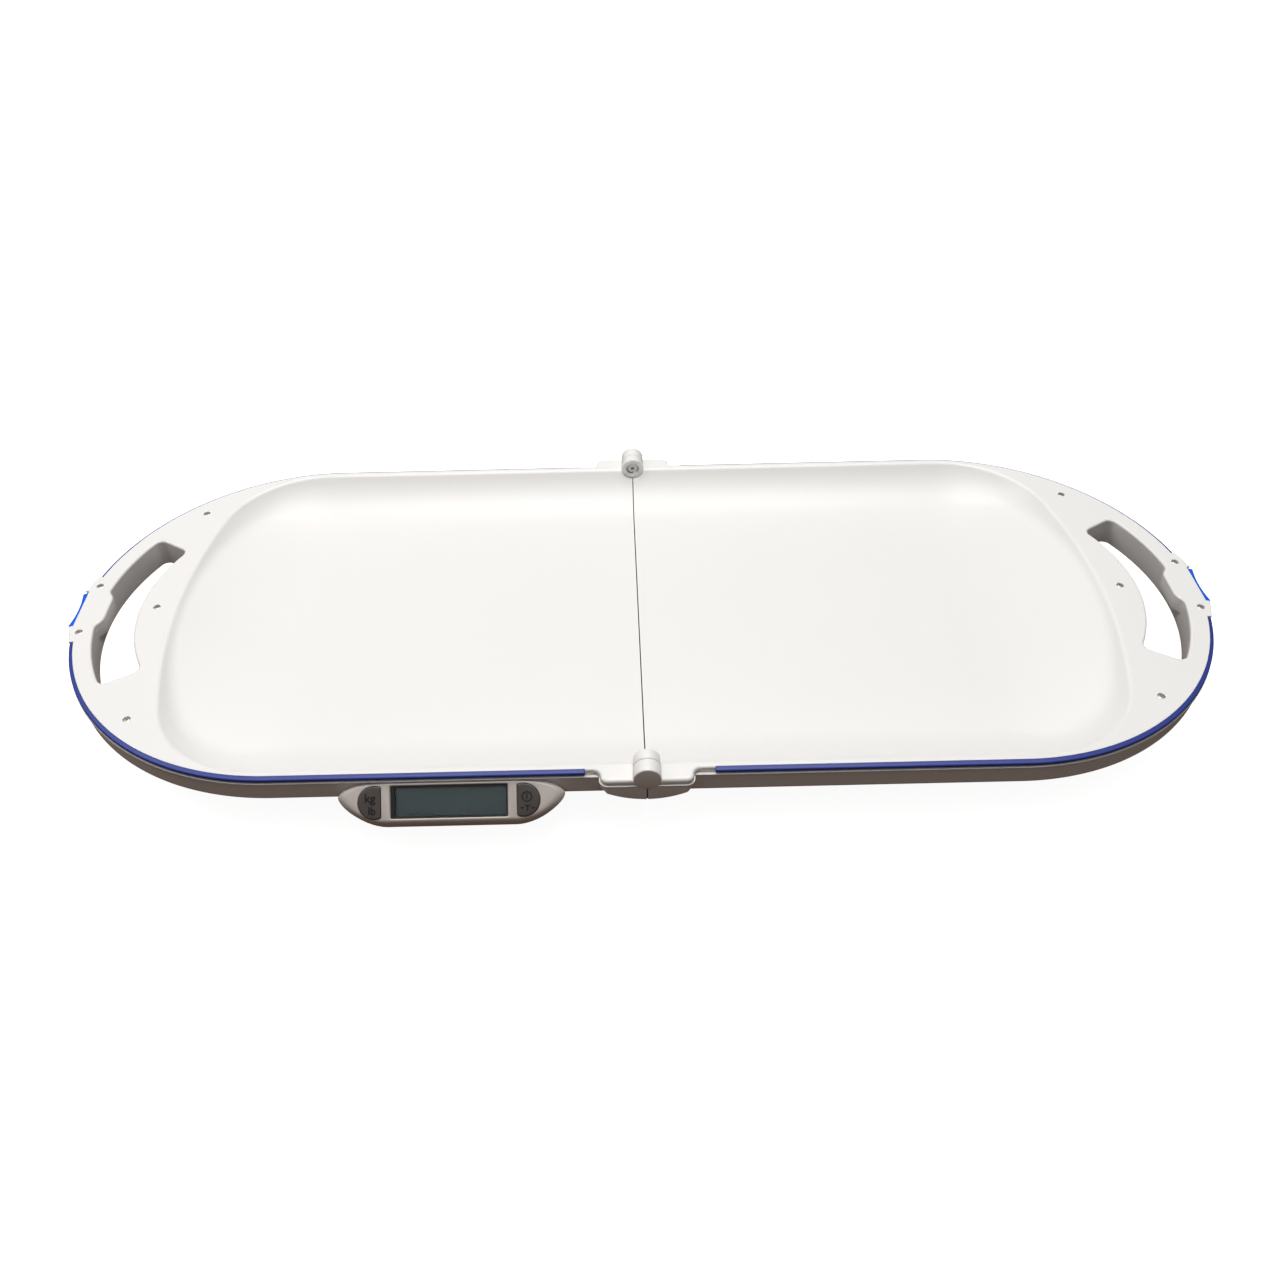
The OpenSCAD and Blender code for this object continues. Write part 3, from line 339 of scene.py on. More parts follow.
def finish(name, colour, roughness, grain=900.0, bump=0.06, mottle=0.015, **shader):
    """A moulded or machined surface: faint mottling of colour, uneven gloss and a fine grain in its relief."""
    material, tree, surface = blank(name)
    for key, value in shader.items():
        surface.inputs[key.replace("_", " ")].default_value = value
    broad = noise(tree, Scale=14.0, Detail=4.0, Roughness=0.55)
    fine = noise(tree, Scale=grain, Detail=3.0, Roughness=0.6)
    scale = tree.nodes.new("ShaderNodeVectorMath")
    scale.operation = "SCALE"
    scale.inputs[0].default_value = colour
    tree.links.new(mapped(tree, broad, 1 - mottle, 1 + mottle), scale.inputs["Scale"])
    tree.links.new(scale.outputs["Vector"], surface.inputs["Base Color"])
    gloss = mapped(tree, broad, max(0.02, roughness - GLOSS_SPREAD), min(1.0, roughness + GLOSS_SPREAD))
    tree.links.new(gloss, surface.inputs["Roughness"])
    relief = tree.nodes.new("ShaderNodeBump")
    relief.inputs["Strength"].default_value, relief.inputs["Distance"].default_value = bump, GRAIN_DEPTH
    tree.links.new(fine, relief.inputs["Height"])
    tree.links.new(relief.outputs["Normal"], surface.inputs["Normal"])
    return material


WHITE = finish("moulded_white", (0.86, 0.852, 0.845), 0.36, bump=0.05, mottle=0.008)
TRIM_BLUE = finish("trim_blue", (0.028, 0.052, 0.3), 0.46, bump=0.08, mottle=0.03)
LATCH_BLUE = finish("latch_blue", (0.0, 0.115, 0.72), 0.3, bump=0.05, mottle=0.02)
STEEL = finish("plated_steel", (0.5, 0.49, 0.48), 0.42, grain=2400.0, bump=0.12, Metallic=1.0)
ALUMINIUM = finish("cell_alloy", (0.72, 0.73, 0.75), 0.38, grain=1800.0, bump=0.15, Metallic=1.0)
RUBBER = finish("foot_rubber", (0.03, 0.03, 0.032), 0.75, grain=1200.0, bump=0.3, mottle=0.08)
BLACK = finish("black_plastic", (0.018, 0.018, 0.02), 0.45, bump=0.15, mottle=0.05)
BOARD = finish("board_laminate", (0.02, 0.13, 0.05), 0.4, grain=2600.0, bump=0.2, mottle=0.06)
POD = finish("pod_silver", (0.64, 0.585, 0.55), 0.34, bump=0.08, mottle=0.02, Coat_Weight=0.1)
KEY = finish("key_rubber", (0.085, 0.073, 0.066), 0.4, grain=1600.0, bump=0.12, mottle=0.04)
MARK = finish("mark_ink", (0.008, 0.008, 0.008), 0.5, bump=0.05)
LCD = finish("lcd_panel", (0.02, 0.034, 0.037), 0.3, grain=3000.0, bump=0.03, mottle=0.05)
JACKET = finish("battery_jacket", (0.45, 0.16, 0.05), 0.35, bump=0.05)

SLOT_FINISH = {
    "white_plastic": WHITE, "blue_trim": TRIM_BLUE, "blue_latch": LATCH_BLUE, "screw_steel": STEEL,
    "cell_aluminium": ALUMINIUM, "foot_rubber": RUBBER, "black_plastic": BLACK, "circuit_board": BOARD,
    "grey_pod": POD, "display_glass": LCD, "lcd_grey": LCD, "key_grey": KEY, "battery_jacket": JACKET,
}


def glass():
    material, tree, surface = blank("display_lens")
    surface.inputs["Base Color"].default_value = (0.8, 0.86, 0.86, 1)
    surface.inputs["Transmission Weight"].default_value = 1.0
    surface.inputs["IOR"].default_value = 1.32
    gloss = mapped(tree, noise(tree, Scale=60.0, Detail=3.0), 0.03, 0.12)
    tree.links.new(gloss, surface.inputs["Roughness"])
    return material


LENS = glass()

for part in frame["record"]["subparts"]:
    node = frame["nodes"][part["node"]]
    node.data.materials.clear()
    node.data.materials.append(LENS if part["node"] == "display_window" else SLOT_FINISH[part["material_slot"]])


# ---- the bed's surface

SIDE_RISE = BED_SIDE_R - BED_DEPTH
SIDE_RUN = math.sqrt(BED_SIDE_R ** 2 - SIDE_RISE ** 2)
LIP_START = SIDE_RUN - math.sqrt((BED_SIDE_R + BED_LIP_R) ** 2 - (SIDE_RISE + BED_LIP_R) ** 2)
LIP_TOUCH = SIDE_RUN - (SIDE_RUN - LIP_START) * BED_SIDE_R / (BED_SIDE_R + BED_LIP_R)
SLOPE_UP = BED_SLOPE_R - BED_DEPTH
SLOPE_X = BED_END_X - BED_LIP - math.sqrt(BED_SLOPE_R ** 2 - (SLOPE_UP + BED_LIP) ** 2)
END_CENTRE = BED_END_R - BED_END_X
CORNER_Y = BED_HALF_W - BED_CORNER_R
CORNER_X = -END_CENTRE + math.sqrt((BED_END_R - BED_CORNER_R) ** 2 - CORNER_Y ** 2)
END_ANGLE = math.degrees(math.asin(CORNER_Y / (BED_END_R - BED_CORNER_R)))
BED_BLEND = 2.5


def side_height(d):
    """Height over the rim at distance d inside the bed's edge: a rounded lip, the hollow wall, the floor."""
    if d < LIP_START:
        return 0.0
    if d < LIP_TOUCH:
        return -BED_LIP_R + math.sqrt(BED_LIP_R ** 2 - (d - LIP_START) ** 2)
    if d < SIDE_RUN:
        return SIDE_RISE - math.sqrt(BED_SIDE_R ** 2 - (SIDE_RUN - d) ** 2)
    return -BED_DEPTH


def slope_height(x):
    past = abs(x) - SLOPE_X
    return -BED_DEPTH if past < 0 else SLOPE_UP - math.sqrt(BED_SLOPE_R ** 2 - past ** 2)


def bed_height(x, d):
    """The higher of the side's hollow and the gentle slope to the end, blended where they meet."""
    side, slope = side_height(d), slope_height(x)
    blend = BED_BLEND * min(1.0, max(1e-3, (slope + BED_DEPTH) / 4))
    near = max(blend - abs(side - slope), 0) / blend
    return RIM_Z + max(side, slope) + near * near * blend / 4


def bed_path():
    blend_x = -SLOPE_X + 10
    path = Path().line((-SEAM_X, BED_HALF_W), (blend_x, BED_HALF_W), 24)
    path.line((blend_x, BED_HALF_W), (-CORNER_X, BED_HALF_W), 8)
    path.arc((-CORNER_X, CORNER_Y), BED_CORNER_R, 90, 180 - END_ANGLE, 44)
    path.arc((END_CENTRE, 0), BED_END_R, 180 - END_ANGLE, 180 + END_ANGLE, 40)
    path.arc((-CORNER_X, -CORNER_Y), BED_CORNER_R, 180 + END_ANGLE, 270, 44)
    path.line((-CORNER_X, -BED_HALF_W), (blend_x, -BED_HALF_W), 8)
    return path.line((blend_x, -BED_HALF_W), (-SEAM_X, -BED_HALF_W), 24).done()


def bed_rings():
    """Distances inside the bed's edge, close together round the lip and its foot."""
    rings = [LIP_START - 0.4]
    rings += [LIP_START + (LIP_TOUCH - LIP_START) * i / 8 for i in range(9)]
    rings += [LIP_TOUCH + (8 - LIP_TOUCH) * i / 14 for i in range(1, 15)]
    rings += [8 + (SIDE_RUN - 8) * i / 20 for i in range(1, 21)]
    rings += [SIDE_RUN + (BED_CORNER_R - 1 - SIDE_RUN) * i / 8 for i in range(1, 9)]
    return rings


def bed_surface(skin, path, drop):
    """The bed, lowered by drop millimetres of wall measured square to it."""
    rows, step = [], 0.05
    for d in bed_rings():
        lean = (side_height(d + step) - side_height(d)) / step
        fall = drop * math.sqrt(1 + lean * lean)
        rows.append([(x, y, bed_height(x, d) - fall) for x, y in path.at(d)])
    skin.strip(rows)
    last, ladder = rows[-1], []
    for k in range(len(last) // 2 + 1):
        a, b = np.array(last[k]), np.array(last[-1 - k])
        ladder.append([a + (b - a) * i / 12 for i in range(13)])
    skin.strip(ladder)


# ---- the upper trays

def tray_path():
    """The rim's outline with both hinge ears, from the back seam round the end to the front seam."""
    turn = 5.0
    path, marks = Path(), []

    def mark(kind):
        marks.extend([kind] * (len(path.points) - len(marks)))

    def side_arc(start, end, count, kind):
        path.arc((-END_X, 0), RIM_R, start, end, count)
        mark(kind)

    near = LATCH_HALF_W + LATCH_GAP
    path.line((-SEAM_X, EAR_Y), (-EAR_X + turn, EAR_Y), 6)
    path.arc((-EAR_X + turn, EAR_Y - turn), turn, 90, 180, 10)
    path.arc((-EAR_X - turn, RIM_R + turn), turn, 0, -90, 10)
    mark("ear")
    path.line((-EAR_X - turn, RIM_R), (-STRIP_START[1], RIM_R), 2)
    mark("stop")
    path.line((-STRIP_START[1], RIM_R), (-END_X, RIM_R), 12)
    mark("strip")
    side_arc(90, 180 - STRIP_END, 64, "strip")
    side_arc(180 - STRIP_END, 180 - LATCH_END, 14, "bezel")
    path.line((LATCH_EDGE_X, near), (LATCH_EDGE_X, -near), 8)
    mark("latch")
    side_arc(180 + LATCH_END, 180 + STRIP_END, 14, "bezel")
    side_arc(180 + STRIP_END, 270, 64, "strip")
    path.line((-END_X, -RIM_R), (-STRIP_START[-1], -RIM_R), 12)
    mark("strip")
    path.line((-STRIP_START[-1], -RIM_R), (-EAR_X - turn, -RIM_R), 2)
    mark("stop")
    path.arc((-EAR_X - turn, -RIM_R - turn), turn, 90, 0, 10)
    path.arc((-EAR_X + turn, -EAR_Y + turn), turn, 180, 270, 10)
    path.line((-EAR_X + turn, -EAR_Y), (-SEAM_X, -EAR_Y), 6)
    mark("ear")
    return path.done(), np.array(marks)


def hole_path(boss=True):
    """The handle hole, run clockwise, so that its normals point into the plate. The latch boss has soft corners."""
    centre = np.array((-END_X, 0.0))
    r, boss_r = HOLE_CORNER_R, 13.0
    half = math.radians(HOLE_ANGLE)
    mid_out, mid_in = HOLE_R2 - r, HOLE_R1 + r
    turn_out = half - math.asin(r / mid_out)
    turn_in = half - math.asin(r / mid_in)

    def polar(radius, angle):
        return centre + radius * np.array((-math.cos(angle), math.sin(angle)))

    # The boss: a flat at boss_x, flanks that run out to the outer arc, and the rounds between them.
    boss_x = -END_X - HOLE_R2 + BOSS_IN
    lean = math.atan2(BOSS_IN + 1, BOSS_FLANK + 1)
    flank, corner_out, corner_in = math.degrees(lean), math.degrees(turn_out), math.degrees(turn_in)
    soft = (boss_x - boss_r, BOSS_HALF_W - boss_r * math.tan(lean / 2))
    slope = np.array((-math.sin(lean), math.cos(lean)))
    root = np.array((boss_x, BOSS_HALF_W)) + np.array((math.cos(lean), math.sin(lean))) * r
    rel = root - centre
    foot = root + slope * (-rel @ slope + math.sqrt((rel @ slope) ** 2 - rel @ rel + mid_out ** 2))
    foot_angle = math.degrees(math.atan2(foot[1] - centre[1], centre[0] - foot[0]))
    # Upper half, from the middle of the boss outwards and back along the inner arc.
    path = Path()
    if boss:
        path.points.append(np.array((boss_x, 0.0)))
        path.arc(soft, boss_r, 0, flank, 8).arc(foot, r, 180 + flank, 180 - foot_angle, 6)
    path.arc(centre, HOLE_R2, 180 - (foot_angle if boss else 0), 180 - corner_out, 16 if boss else 28)
    path.arc(polar(mid_out, turn_out), r, 180 - corner_out, 90 - HOLE_ANGLE, 10)
    path.arc(polar(mid_in, turn_in), r, 90 - HOLE_ANGLE, -corner_in, 10)
    upper = path.arc(centre, HOLE_R1, 180 - corner_in, 180, 20).points
    ring = []
    for p in upper + [p * np.array((1, -1)) for p in upper[-2:0:-1]]:
        if not ring or np.linalg.norm(p - ring[-1]) > 0.05:
            ring.append(p)
    path.points, path.normals = ring, []
    for i in range(len(ring)):
        way = ring[(i + 1) % len(ring)] - ring[i - 1]
        way = way / np.linalg.norm(way)
        path.normals.append((-way[1], way[0]))
    return path.done()


def boss_block():
    """The latch boss in the lower case, from its own floor up to the plate."""
    def on_boss(p):
        return abs(p[1]) < 40 and p[0] < -END_X - 140 and np.hypot(p[0] + END_X, p[1]) < HOLE_R2 - 0.02

    face = sorted(filter(on_boss, hole_path().points), key=lambda p: p[1])
    end = math.degrees(math.asin(face[-1][1] / (HOLE_R2 + 1)))
    back = Path().arc((-END_X, 0), HOLE_R2 + 1, 180 - end, 180 + end, 12)
    return plate(face + back.points, BOSS_BOTTOM, POST_TOP + 0.1, {}, 0.8, 0.05)


def circle_path(centre, radius, count=32):
    """A circle run clockwise, so that its normals point outwards."""
    return Path().arc(centre, radius, 0, -360 * (count - 1) / count, count - 1).done()


def edge_rows(path, radius, z, steps=6, base=0.0):
    """Rows that round a level face's edge: first a flat margin, then a quarter circle."""
    spots = [(base + radius + 0.4, z)] + quarter((base + radius, z), (base, z - radius), steps)
    return path.levels(spots)


# Of each stretch of the rim's edge: its round, its shelf's depth, how far in its seat lies, its foot's
# height and how far in its inner face lies.
TRAY_EDGE = {
    "ear": (2.2, 3.4, 0.9, 55.5, 4.9), "stop": (1.6, 3.4, 0.0, 55.5, 4.9), "strip": (0.5, 1.3, 2.5, 53.8, 4.9),
    "bezel": (0.9, 1.3, 2.5, 53.8, 4.9), "latch": (0.6, 1.2, 10.4, 57.1, 10.5),
}


def bezel_reach(y):
    """How far the blocks beside the latch button stand out of the rim's edge: less towards the trim strip."""
    return STRIP_OUT + 0.2 + BEZEL_OUT * (STRIP_END_Y - y) / (STRIP_END_Y - LATCH_HALF_W)


def upper_tray():
    skin = Skin()
    outer, marks = tray_path()
    bed, hole, under = bed_path(), hole_path(), RIM_Z - PLATE_T
    # The rim's outer edge, down the groove of the trim strip and back under the plate.
    base = np.where(marks == "strip", PLATE_IN, 0.0)
    beside = marks == "bezel"
    base[beside] = [-bezel_reach(abs(y)) for y in outer.points[beside][:, 1]]
    round_r, shelf, seat, foot_z, inner = np.array([TRAY_EDGE[m] for m in marks]).T
    rows = edge_rows(outer, round_r, RIM_Z, base=base)
    rows += outer.levels(((base, RIM_Z - shelf), (seat, RIM_Z - shelf), (seat, foot_z)))
    rows += outer.levels(((inner, foot_z), (inner, under)))
    skin.strip(rows)
    tops, unders = [rows[0]], [rows[-1]]
    holes = [edge_rows(hole, 1.8, RIM_Z) + hole.levels(((0, under), (0.5, under)))]
    for centre in SCREWS:
        ring, seat_z = circle_path(centre, 2.75), RIM_Z - 1.6
        holes.append(edge_rows(ring, 0.3, RIM_Z, 3) + ring.levels(((0, seat_z), (-1.2, seat_z), (-1.2, under))))
    for rows in holes:
        skin.strip(rows, closed=True)
        tops.append(rows[0])
        unders.append(rows[-1])
    rim_edge = bed.at(bed_rings()[0])
    for loops, z, drop in ((tops, RIM_Z, 0), (unders, under, PLATE_T)):
        skin.flat([list(loops[0]) + list(rim_edge[::-1])] + loops[1:], z)
        bed_surface(skin, bed, drop)
    return skin


def bezels():
    """The two blocks beside the latch button, from the rim's plate down to the side wall."""
    skin = Skin()
    in_r = RIM_R - STRIP_SEAT - 0.5
    near, far = LATCH_HALF_W + LATCH_GAP, STRIP_END_Y - 0.1
    spots = ((near, RIM_R + bezel_reach(near)), (far, RIM_R + bezel_reach(far)), (far, in_r), (near, in_r))
    for s in (1, -1):
        corners = [(-END_X - math.sqrt(radius ** 2 - y * y), s * y) for y, radius in spots]
        rounds = {2: 1.0, 3: 1.0} if s > 0 else {0: 1.0, 1: 1.0}
        skin.add(plate(corners[::-s], PARTING, RIM_Z - 1.25, rounds, 0.3, 0.05))
    return skin


def rounded_loop(points, radii, steps=5):
    """A closed outline through points, anticlockwise, with the corners named in radii rounded."""
    ring, points = [], np.array(points, float)
    for i, p in enumerate(points):
        if i not in radii:
            ring.append(p)
            continue
        back, ahead = points[i - 1] - p, points[(i + 1) % len(points)] - p
        back, ahead = back / np.linalg.norm(back), ahead / np.linalg.norm(ahead)
        half = math.acos(max(-1, min(1, back @ ahead))) / 2
        reach = radii[i] / math.tan(half)
        middle = p + (back + ahead) / np.linalg.norm(back + ahead) * radii[i] / math.sin(half)
        start, end = p + back * reach, p + ahead * reach
        for k in range(steps + 1):
            chord = start + (end - start) * k / steps - middle
            ring.append(middle + chord / np.linalg.norm(chord) * radii[i])
    kept = [ring[0]]
    for p in ring[1:]:
        if np.linalg.norm(p - kept[-1]) > 0.02:
            kept.append(p)
    if np.linalg.norm(kept[0] - kept[-1]) < 0.02:
        kept.pop()
    path = Path()
    path.points = kept
    for i, p in enumerate(kept):
        one, two = p - kept[i - 1], kept[(i + 1) % len(kept)] - p
        n1 = np.array((-one[1], one[0])) / np.linalg.norm(one)
        n2 = np.array((-two[1], two[0])) / np.linalg.norm(two)
        path.normals.append((n1 + n2) / ((n1 + n2) @ n1))
    return path.done()


def plate(points, z0, z1, radii, r0, r1):
    return Skin().prism(rounded_loop(points, radii), z0, z1, r0, r1)


def block(x0, y0, x1, y1, z0, z1, r0, r1):
    return plate([(x0, y0), (x1, y0), (x1, y1), (x0, y1)], z0, z1, {}, r0, r1)


def knuckle(y1, y2, side, bore=None):
    """A hinge barrel's knuckle along Y. Its first face may have a bore, (radius, depth), for a pin or a cover."""
    edge, profile = 0.9, [(0.02, y1)]
    if bore:
        radius, depth = bore
        profile = [(0.02, y1 + depth), (radius, y1 + depth), (radius, y1 + 0.25), (radius + 0.25, y1)]
    profile += quarter((BARREL_R - edge, y1), (BARREL_R, y1 + edge), 4)
    profile += quarter_down((BARREL_R, y2 - edge), (BARREL_R - edge, y2), 4) + [(0.02, y2)]
    return Skin().lathe([(r, side * y) for r, y in profile], (0, 0, HINGE_Z), "y", 64)


def scoop(y1, y2, side):
    """Room for the other half's knuckle."""
    r = BARREL_R + BARREL_GAP
    return Skin().lathe([(r, side * y1), (r, side * y2)], (0, 0, HINGE_Z), "y", 64)


for half, turn in HALVES:
    tray = piece_from(upper_tray().build(), "tray_skin_" + half, WHITE)
    cut(tray, scoop(KNUCKLE_OUT - 0.15, HINGE_END + 5, -1), scoop(KNUCKLE_IN - 5, KNUCKLE_OUT - 0.15, 1))
    cut(tray, scoop(KNUCKLE_IN - 5, KNUCKLE_IN + 0.5, -1))
    extra = bezels().add(knuckle(KNUCKLE_IN, KNUCKLE_SPLIT, -1, (5.5, 4.4))).add(knuckle(KNUCKLE_OUT, HINGE_END, 1))
    tray = joined([tray, extra], "tray_" + half, WHITE, turn)
    dress(tray, half + "_half", "white_plastic", "upper_tray_" + half)


# ---- the lower cases

def case_path():
    """The wall's outline, from the back seam round the end to the front seam, and where the latch opening is."""
    path = Path().line((-SEAM_X, RIM_R), (-END_X, RIM_R), 24)
    counts = []
    turns = (90, 180 - LATCH_END, 180 + LATCH_END, 270)
    for start, end, count in zip(turns, turns[1:], (70, 12, 70)):
        path.arc((-END_X, 0), RIM_R, start, end, count)
        counts.append(len(path.points))
    path.line((-END_X, -RIM_R), (-SEAM_X, -RIM_R), 24)
    spots = np.arange(len(path.points))
    return path.done(), (spots >= counts[0]) & (spots < counts[1])


def lower_tub():
    skin = Skin()
    wall, at_latch = case_path()
    bed, hole, t = bed_path(), hole_path(False), CASE_WALL

    def row(offset, z, *latch):
        """The wall's outline at an offset and a height, with others of its own at the latch opening."""
        there = latch or (offset, z)
        return wall.level(np.where(at_latch, there[0], offset), np.where(at_latch, there[1], z))

    # Down the outside: the ledge, the wall and its rounded foot.
    out, low, ledge = -CASE_OUT, LATCH_FLOOR, STRIP_FOOT - 0.1
    rows = [row(1.5, ledge, 8.0, low), row(-LEDGE_OUT + 0.3, ledge, 8.0, low)]
    rows += [row(-LEDGE_OUT, ledge - 0.3, 8.0, low), row(-LEDGE_OUT, ledge - LEDGE_H + 0.25, 8.0, low)]
    rows += [row(-LEDGE_OUT + 0.25, ledge - LEDGE_H, out, low), row(out + 0.3, ledge - LEDGE_H - 0.1, out, low)]
    rows += [row(out, ledge - LEDGE_H - 0.5, out, low), row(out, LATCH_FLOOR - 0.5)]
    rows += [row(a, b) for a, b in quarter_down((out, SIDE_BOTTOM + 3.6), (out + 3.2, SIDE_BOTTOM), 8)]
    rows += [row(out + 3.7, SIDE_BOTTOM)]
    skin.strip(rows)
    side_outline = rows[-1]
    # The belly: a soft root, the leaning side and the rounded edge of its floor.
    lean = 20.0 / (SIDE_BOTTOM - BELLY_Z)
    spots = [(5.0, SIDE_BOTTOM)] + quarter((5.5, SIDE_BOTTOM), (7.6, SIDE_BOTTOM - 2.2), 4)
    spots += [(6 + lean * (SIDE_BOTTOM - z), z) for z in (32, 27, 22, 17)]
    spots += quarter_down((6 + lean * 24.5, 12.5), (29.5, BELLY_Z), 7) + [(30.2, BELLY_Z)]
    belly = bed.levels(spots)
    skin.strip(belly)
    # Inside: the wall's thickness in from all of that.
    inner_rows = [row(1.5, ledge, 10.5, low), row(2.0, ledge - 0.5, 11.0, low - 0.5), row(2.0, SIDE_BOTTOM + t)]
    skin.strip(inner_rows)
    # The latch opening's sill joins the two skins.
    skin.strip([row(8.0, ledge, 8.0, low), row(8.0, ledge, 10.5, low)])
    inside = bed.levels(((8.5, SIDE_BOTTOM + t), (8.6, SIDE_BOTTOM - 1), (28.0, BELLY_Z + t), (29.0, BELLY_Z + t)))
    skin.strip(inside)
    # The flats, with the tube of the handle hole and the openings of the floor.
    boss_floor = BOSS_BOTTOM + BOSS_FLOOR_T
    spots = [(0.8, SIDE_BOTTOM)] + quarter((0.8, SIDE_BOTTOM), (0, 37.8), 3) + [(0, POST_TOP), (1.0, POST_TOP)]
    tube = hole.levels(spots + [(1.0, boss_floor), (2.2, boss_floor), (2.2, SIDE_BOTTOM + t)])
    skin.strip(tube, closed=True)
    skin.flat([list(side_outline) + list(belly[0][::-1]), tube[0]], SIDE_BOTTOM)
    skin.flat([list(inner_rows[-1]) + list(inside[0][::-1]), tube[-1]], SIDE_BOTTOM + t)
    low_loops, high_loops = [belly[-1]], [inside[-1]]
    for centre in FEET:
        spots = [(0.5, BELLY_Z)] + quarter((0.4, BELLY_Z), (0, BELLY_Z + 0.4), 3) + [(0, BELLY_Z + t)]
        edge = circle_path(centre, FOOT_HOLE_R).levels(spots)
        skin.strip(edge, closed=True)
        low_loops.append(edge[0])
        high_loops.append(edge[-1])
    return skin.flat(low_loops, BELLY_Z).flat(high_loops, BELLY_Z + t)


def seam_wall():
    """The wall that closes a lower case at the seam, up to the underside of the bed."""
    top = []
    for y in np.linspace(164, -164, 61):
        d = BED_HALF_W - abs(y)
        top.append((y, bed_height(0, d) - 3.4 - 0.012 * max(0, 60 - d)))
    foot = [(169.0, CASE_TOP - 1), (174.4, CASE_TOP - 1), (174.4, 39.7), (164.5, 39.0), (145, BELLY_Z + 1.5)]
    points = [(-y, z) for y, z in foot[1:]] + foot[::-1] + top + [(-169.0, CASE_TOP - 1)]
    loop = [np.array((-SEAM_X - 0.08, y, z)) for y, z in points]
    return Skin().solid([loop, [p - np.array((2.4, 0, 0)) for p in loop]])


def ear_shells(side):
    """The ledge and the half moon under a hinge ear."""
    y0, y1, x1 = side * 175.5, side * (EAR_Y + 0.8), -EAR_X - 1.0
    corners = [(-SEAM_X, y0), (-SEAM_X, y1), (x1, y1), (x1, y0)]
    radii = {2: 6.0}
    if side < 0:
        corners, radii = corners[::-1], {1: 6.0}
    ledge = plate(corners, STRIP_FOOT - 0.1 - LEDGE_H, STRIP_FOOT - 0.1, radii, 0.4, 0.3)
    centre = RIM_Z - EAR_DROP + EAR_R
    top = STRIP_FOOT - LEDGE_H - 0.3
    reach = EAR_X + 0.2
    start = math.degrees(math.atan2(-math.sqrt(EAR_R ** 2 - reach ** 2), -reach))
    end = math.degrees(math.atan2(-math.sqrt(EAR_R ** 2 - SEAM_X ** 2), -SEAM_X))
    arc = Path().arc((0, centre), EAR_R, start, end, 24).points
    moon = plate(arc + [(-SEAM_X, top), (-reach, top)], 170.0, EAR_Y + 0.3, {}, 0.1, 0.3)
    turn = Matrix(((1, 0, 0, 0), (0, 0, side, 0), (0, 1, 0, 0), (0, 0, 0, 1)))
    return [ledge, moon.turned(turn)]


def ear_corner(side):
    """Takes the half moon's outer corner off, so that it stays under the ledge's round one."""
    x, y = -EAR_X - 1.2, EAR_Y + 1.3
    corner = [(x, side * (y - 6.5)), (x + 6.5, side * y), (x, side * y)]
    return plate(corner[::side], 30.0, STRIP_FOOT - LEDGE_H - 0.15, {}, 0.02, 0.02)


def low_bezels():
    skin = bezels()
    stretch = (CASE_TOP - 40) / (RIM_Z - 1.25 - PARTING)
    skin.verts = [(x, y, 40 + (z - PARTING) * stretch) for x, y, z in skin.verts]
    return skin


def door_rails():
    skin = Skin()
    for s in (-1, 1):
        for y0, y1, z0, z1 in ((32.5, 34.5, 4.1, BELLY_Z + 0.4), (30.5, 34.5, 4.1, 5.3)):
            a, b = sorted((s * y0, s * y1))
            skin.add(block(RAIL_X[0], a, RAIL_X[1], b, z0, z1, 0.25, 0.1))
    return skin


def hinge_room():
    return [scoop(KNUCKLE_IN - 1, HINGE_END + 5, s) for s in (-1, 1)]


for half, turn in HALVES:
    tub = piece_from(lower_tub().build(), "tub_" + half, WHITE)
    cut(tub, *hinge_room())
    shells = [tub, seam_wall(), low_bezels(), boss_block()]
    for side in (-1, 1):
        for shell in ear_shells(side):
            shell = piece_from(shell.build(fill_open=False), "ear", WHITE)
            shells.append(cut(shell, ear_corner(side), *hinge_room()))
    for x, y in SCREWS:
        shells.append(Skin().lathe([(3.4, SIDE_BOTTOM + 1), (3.4, POST_TOP)], (x, y, 0), "z", 24))
    if half == "left":
        # The battery bay opens the left floor.
        cut(tub, block(BAY_X[0], -BAY_Y, BAY_X[1], BAY_Y, 6, 12, 0.01, 0.01))
        shells.append(door_rails())
    dress(joined(shells, "case_" + half, WHITE, turn), half + "_half", "white_plastic", "lower_case_" + half)


# ---- trim strips

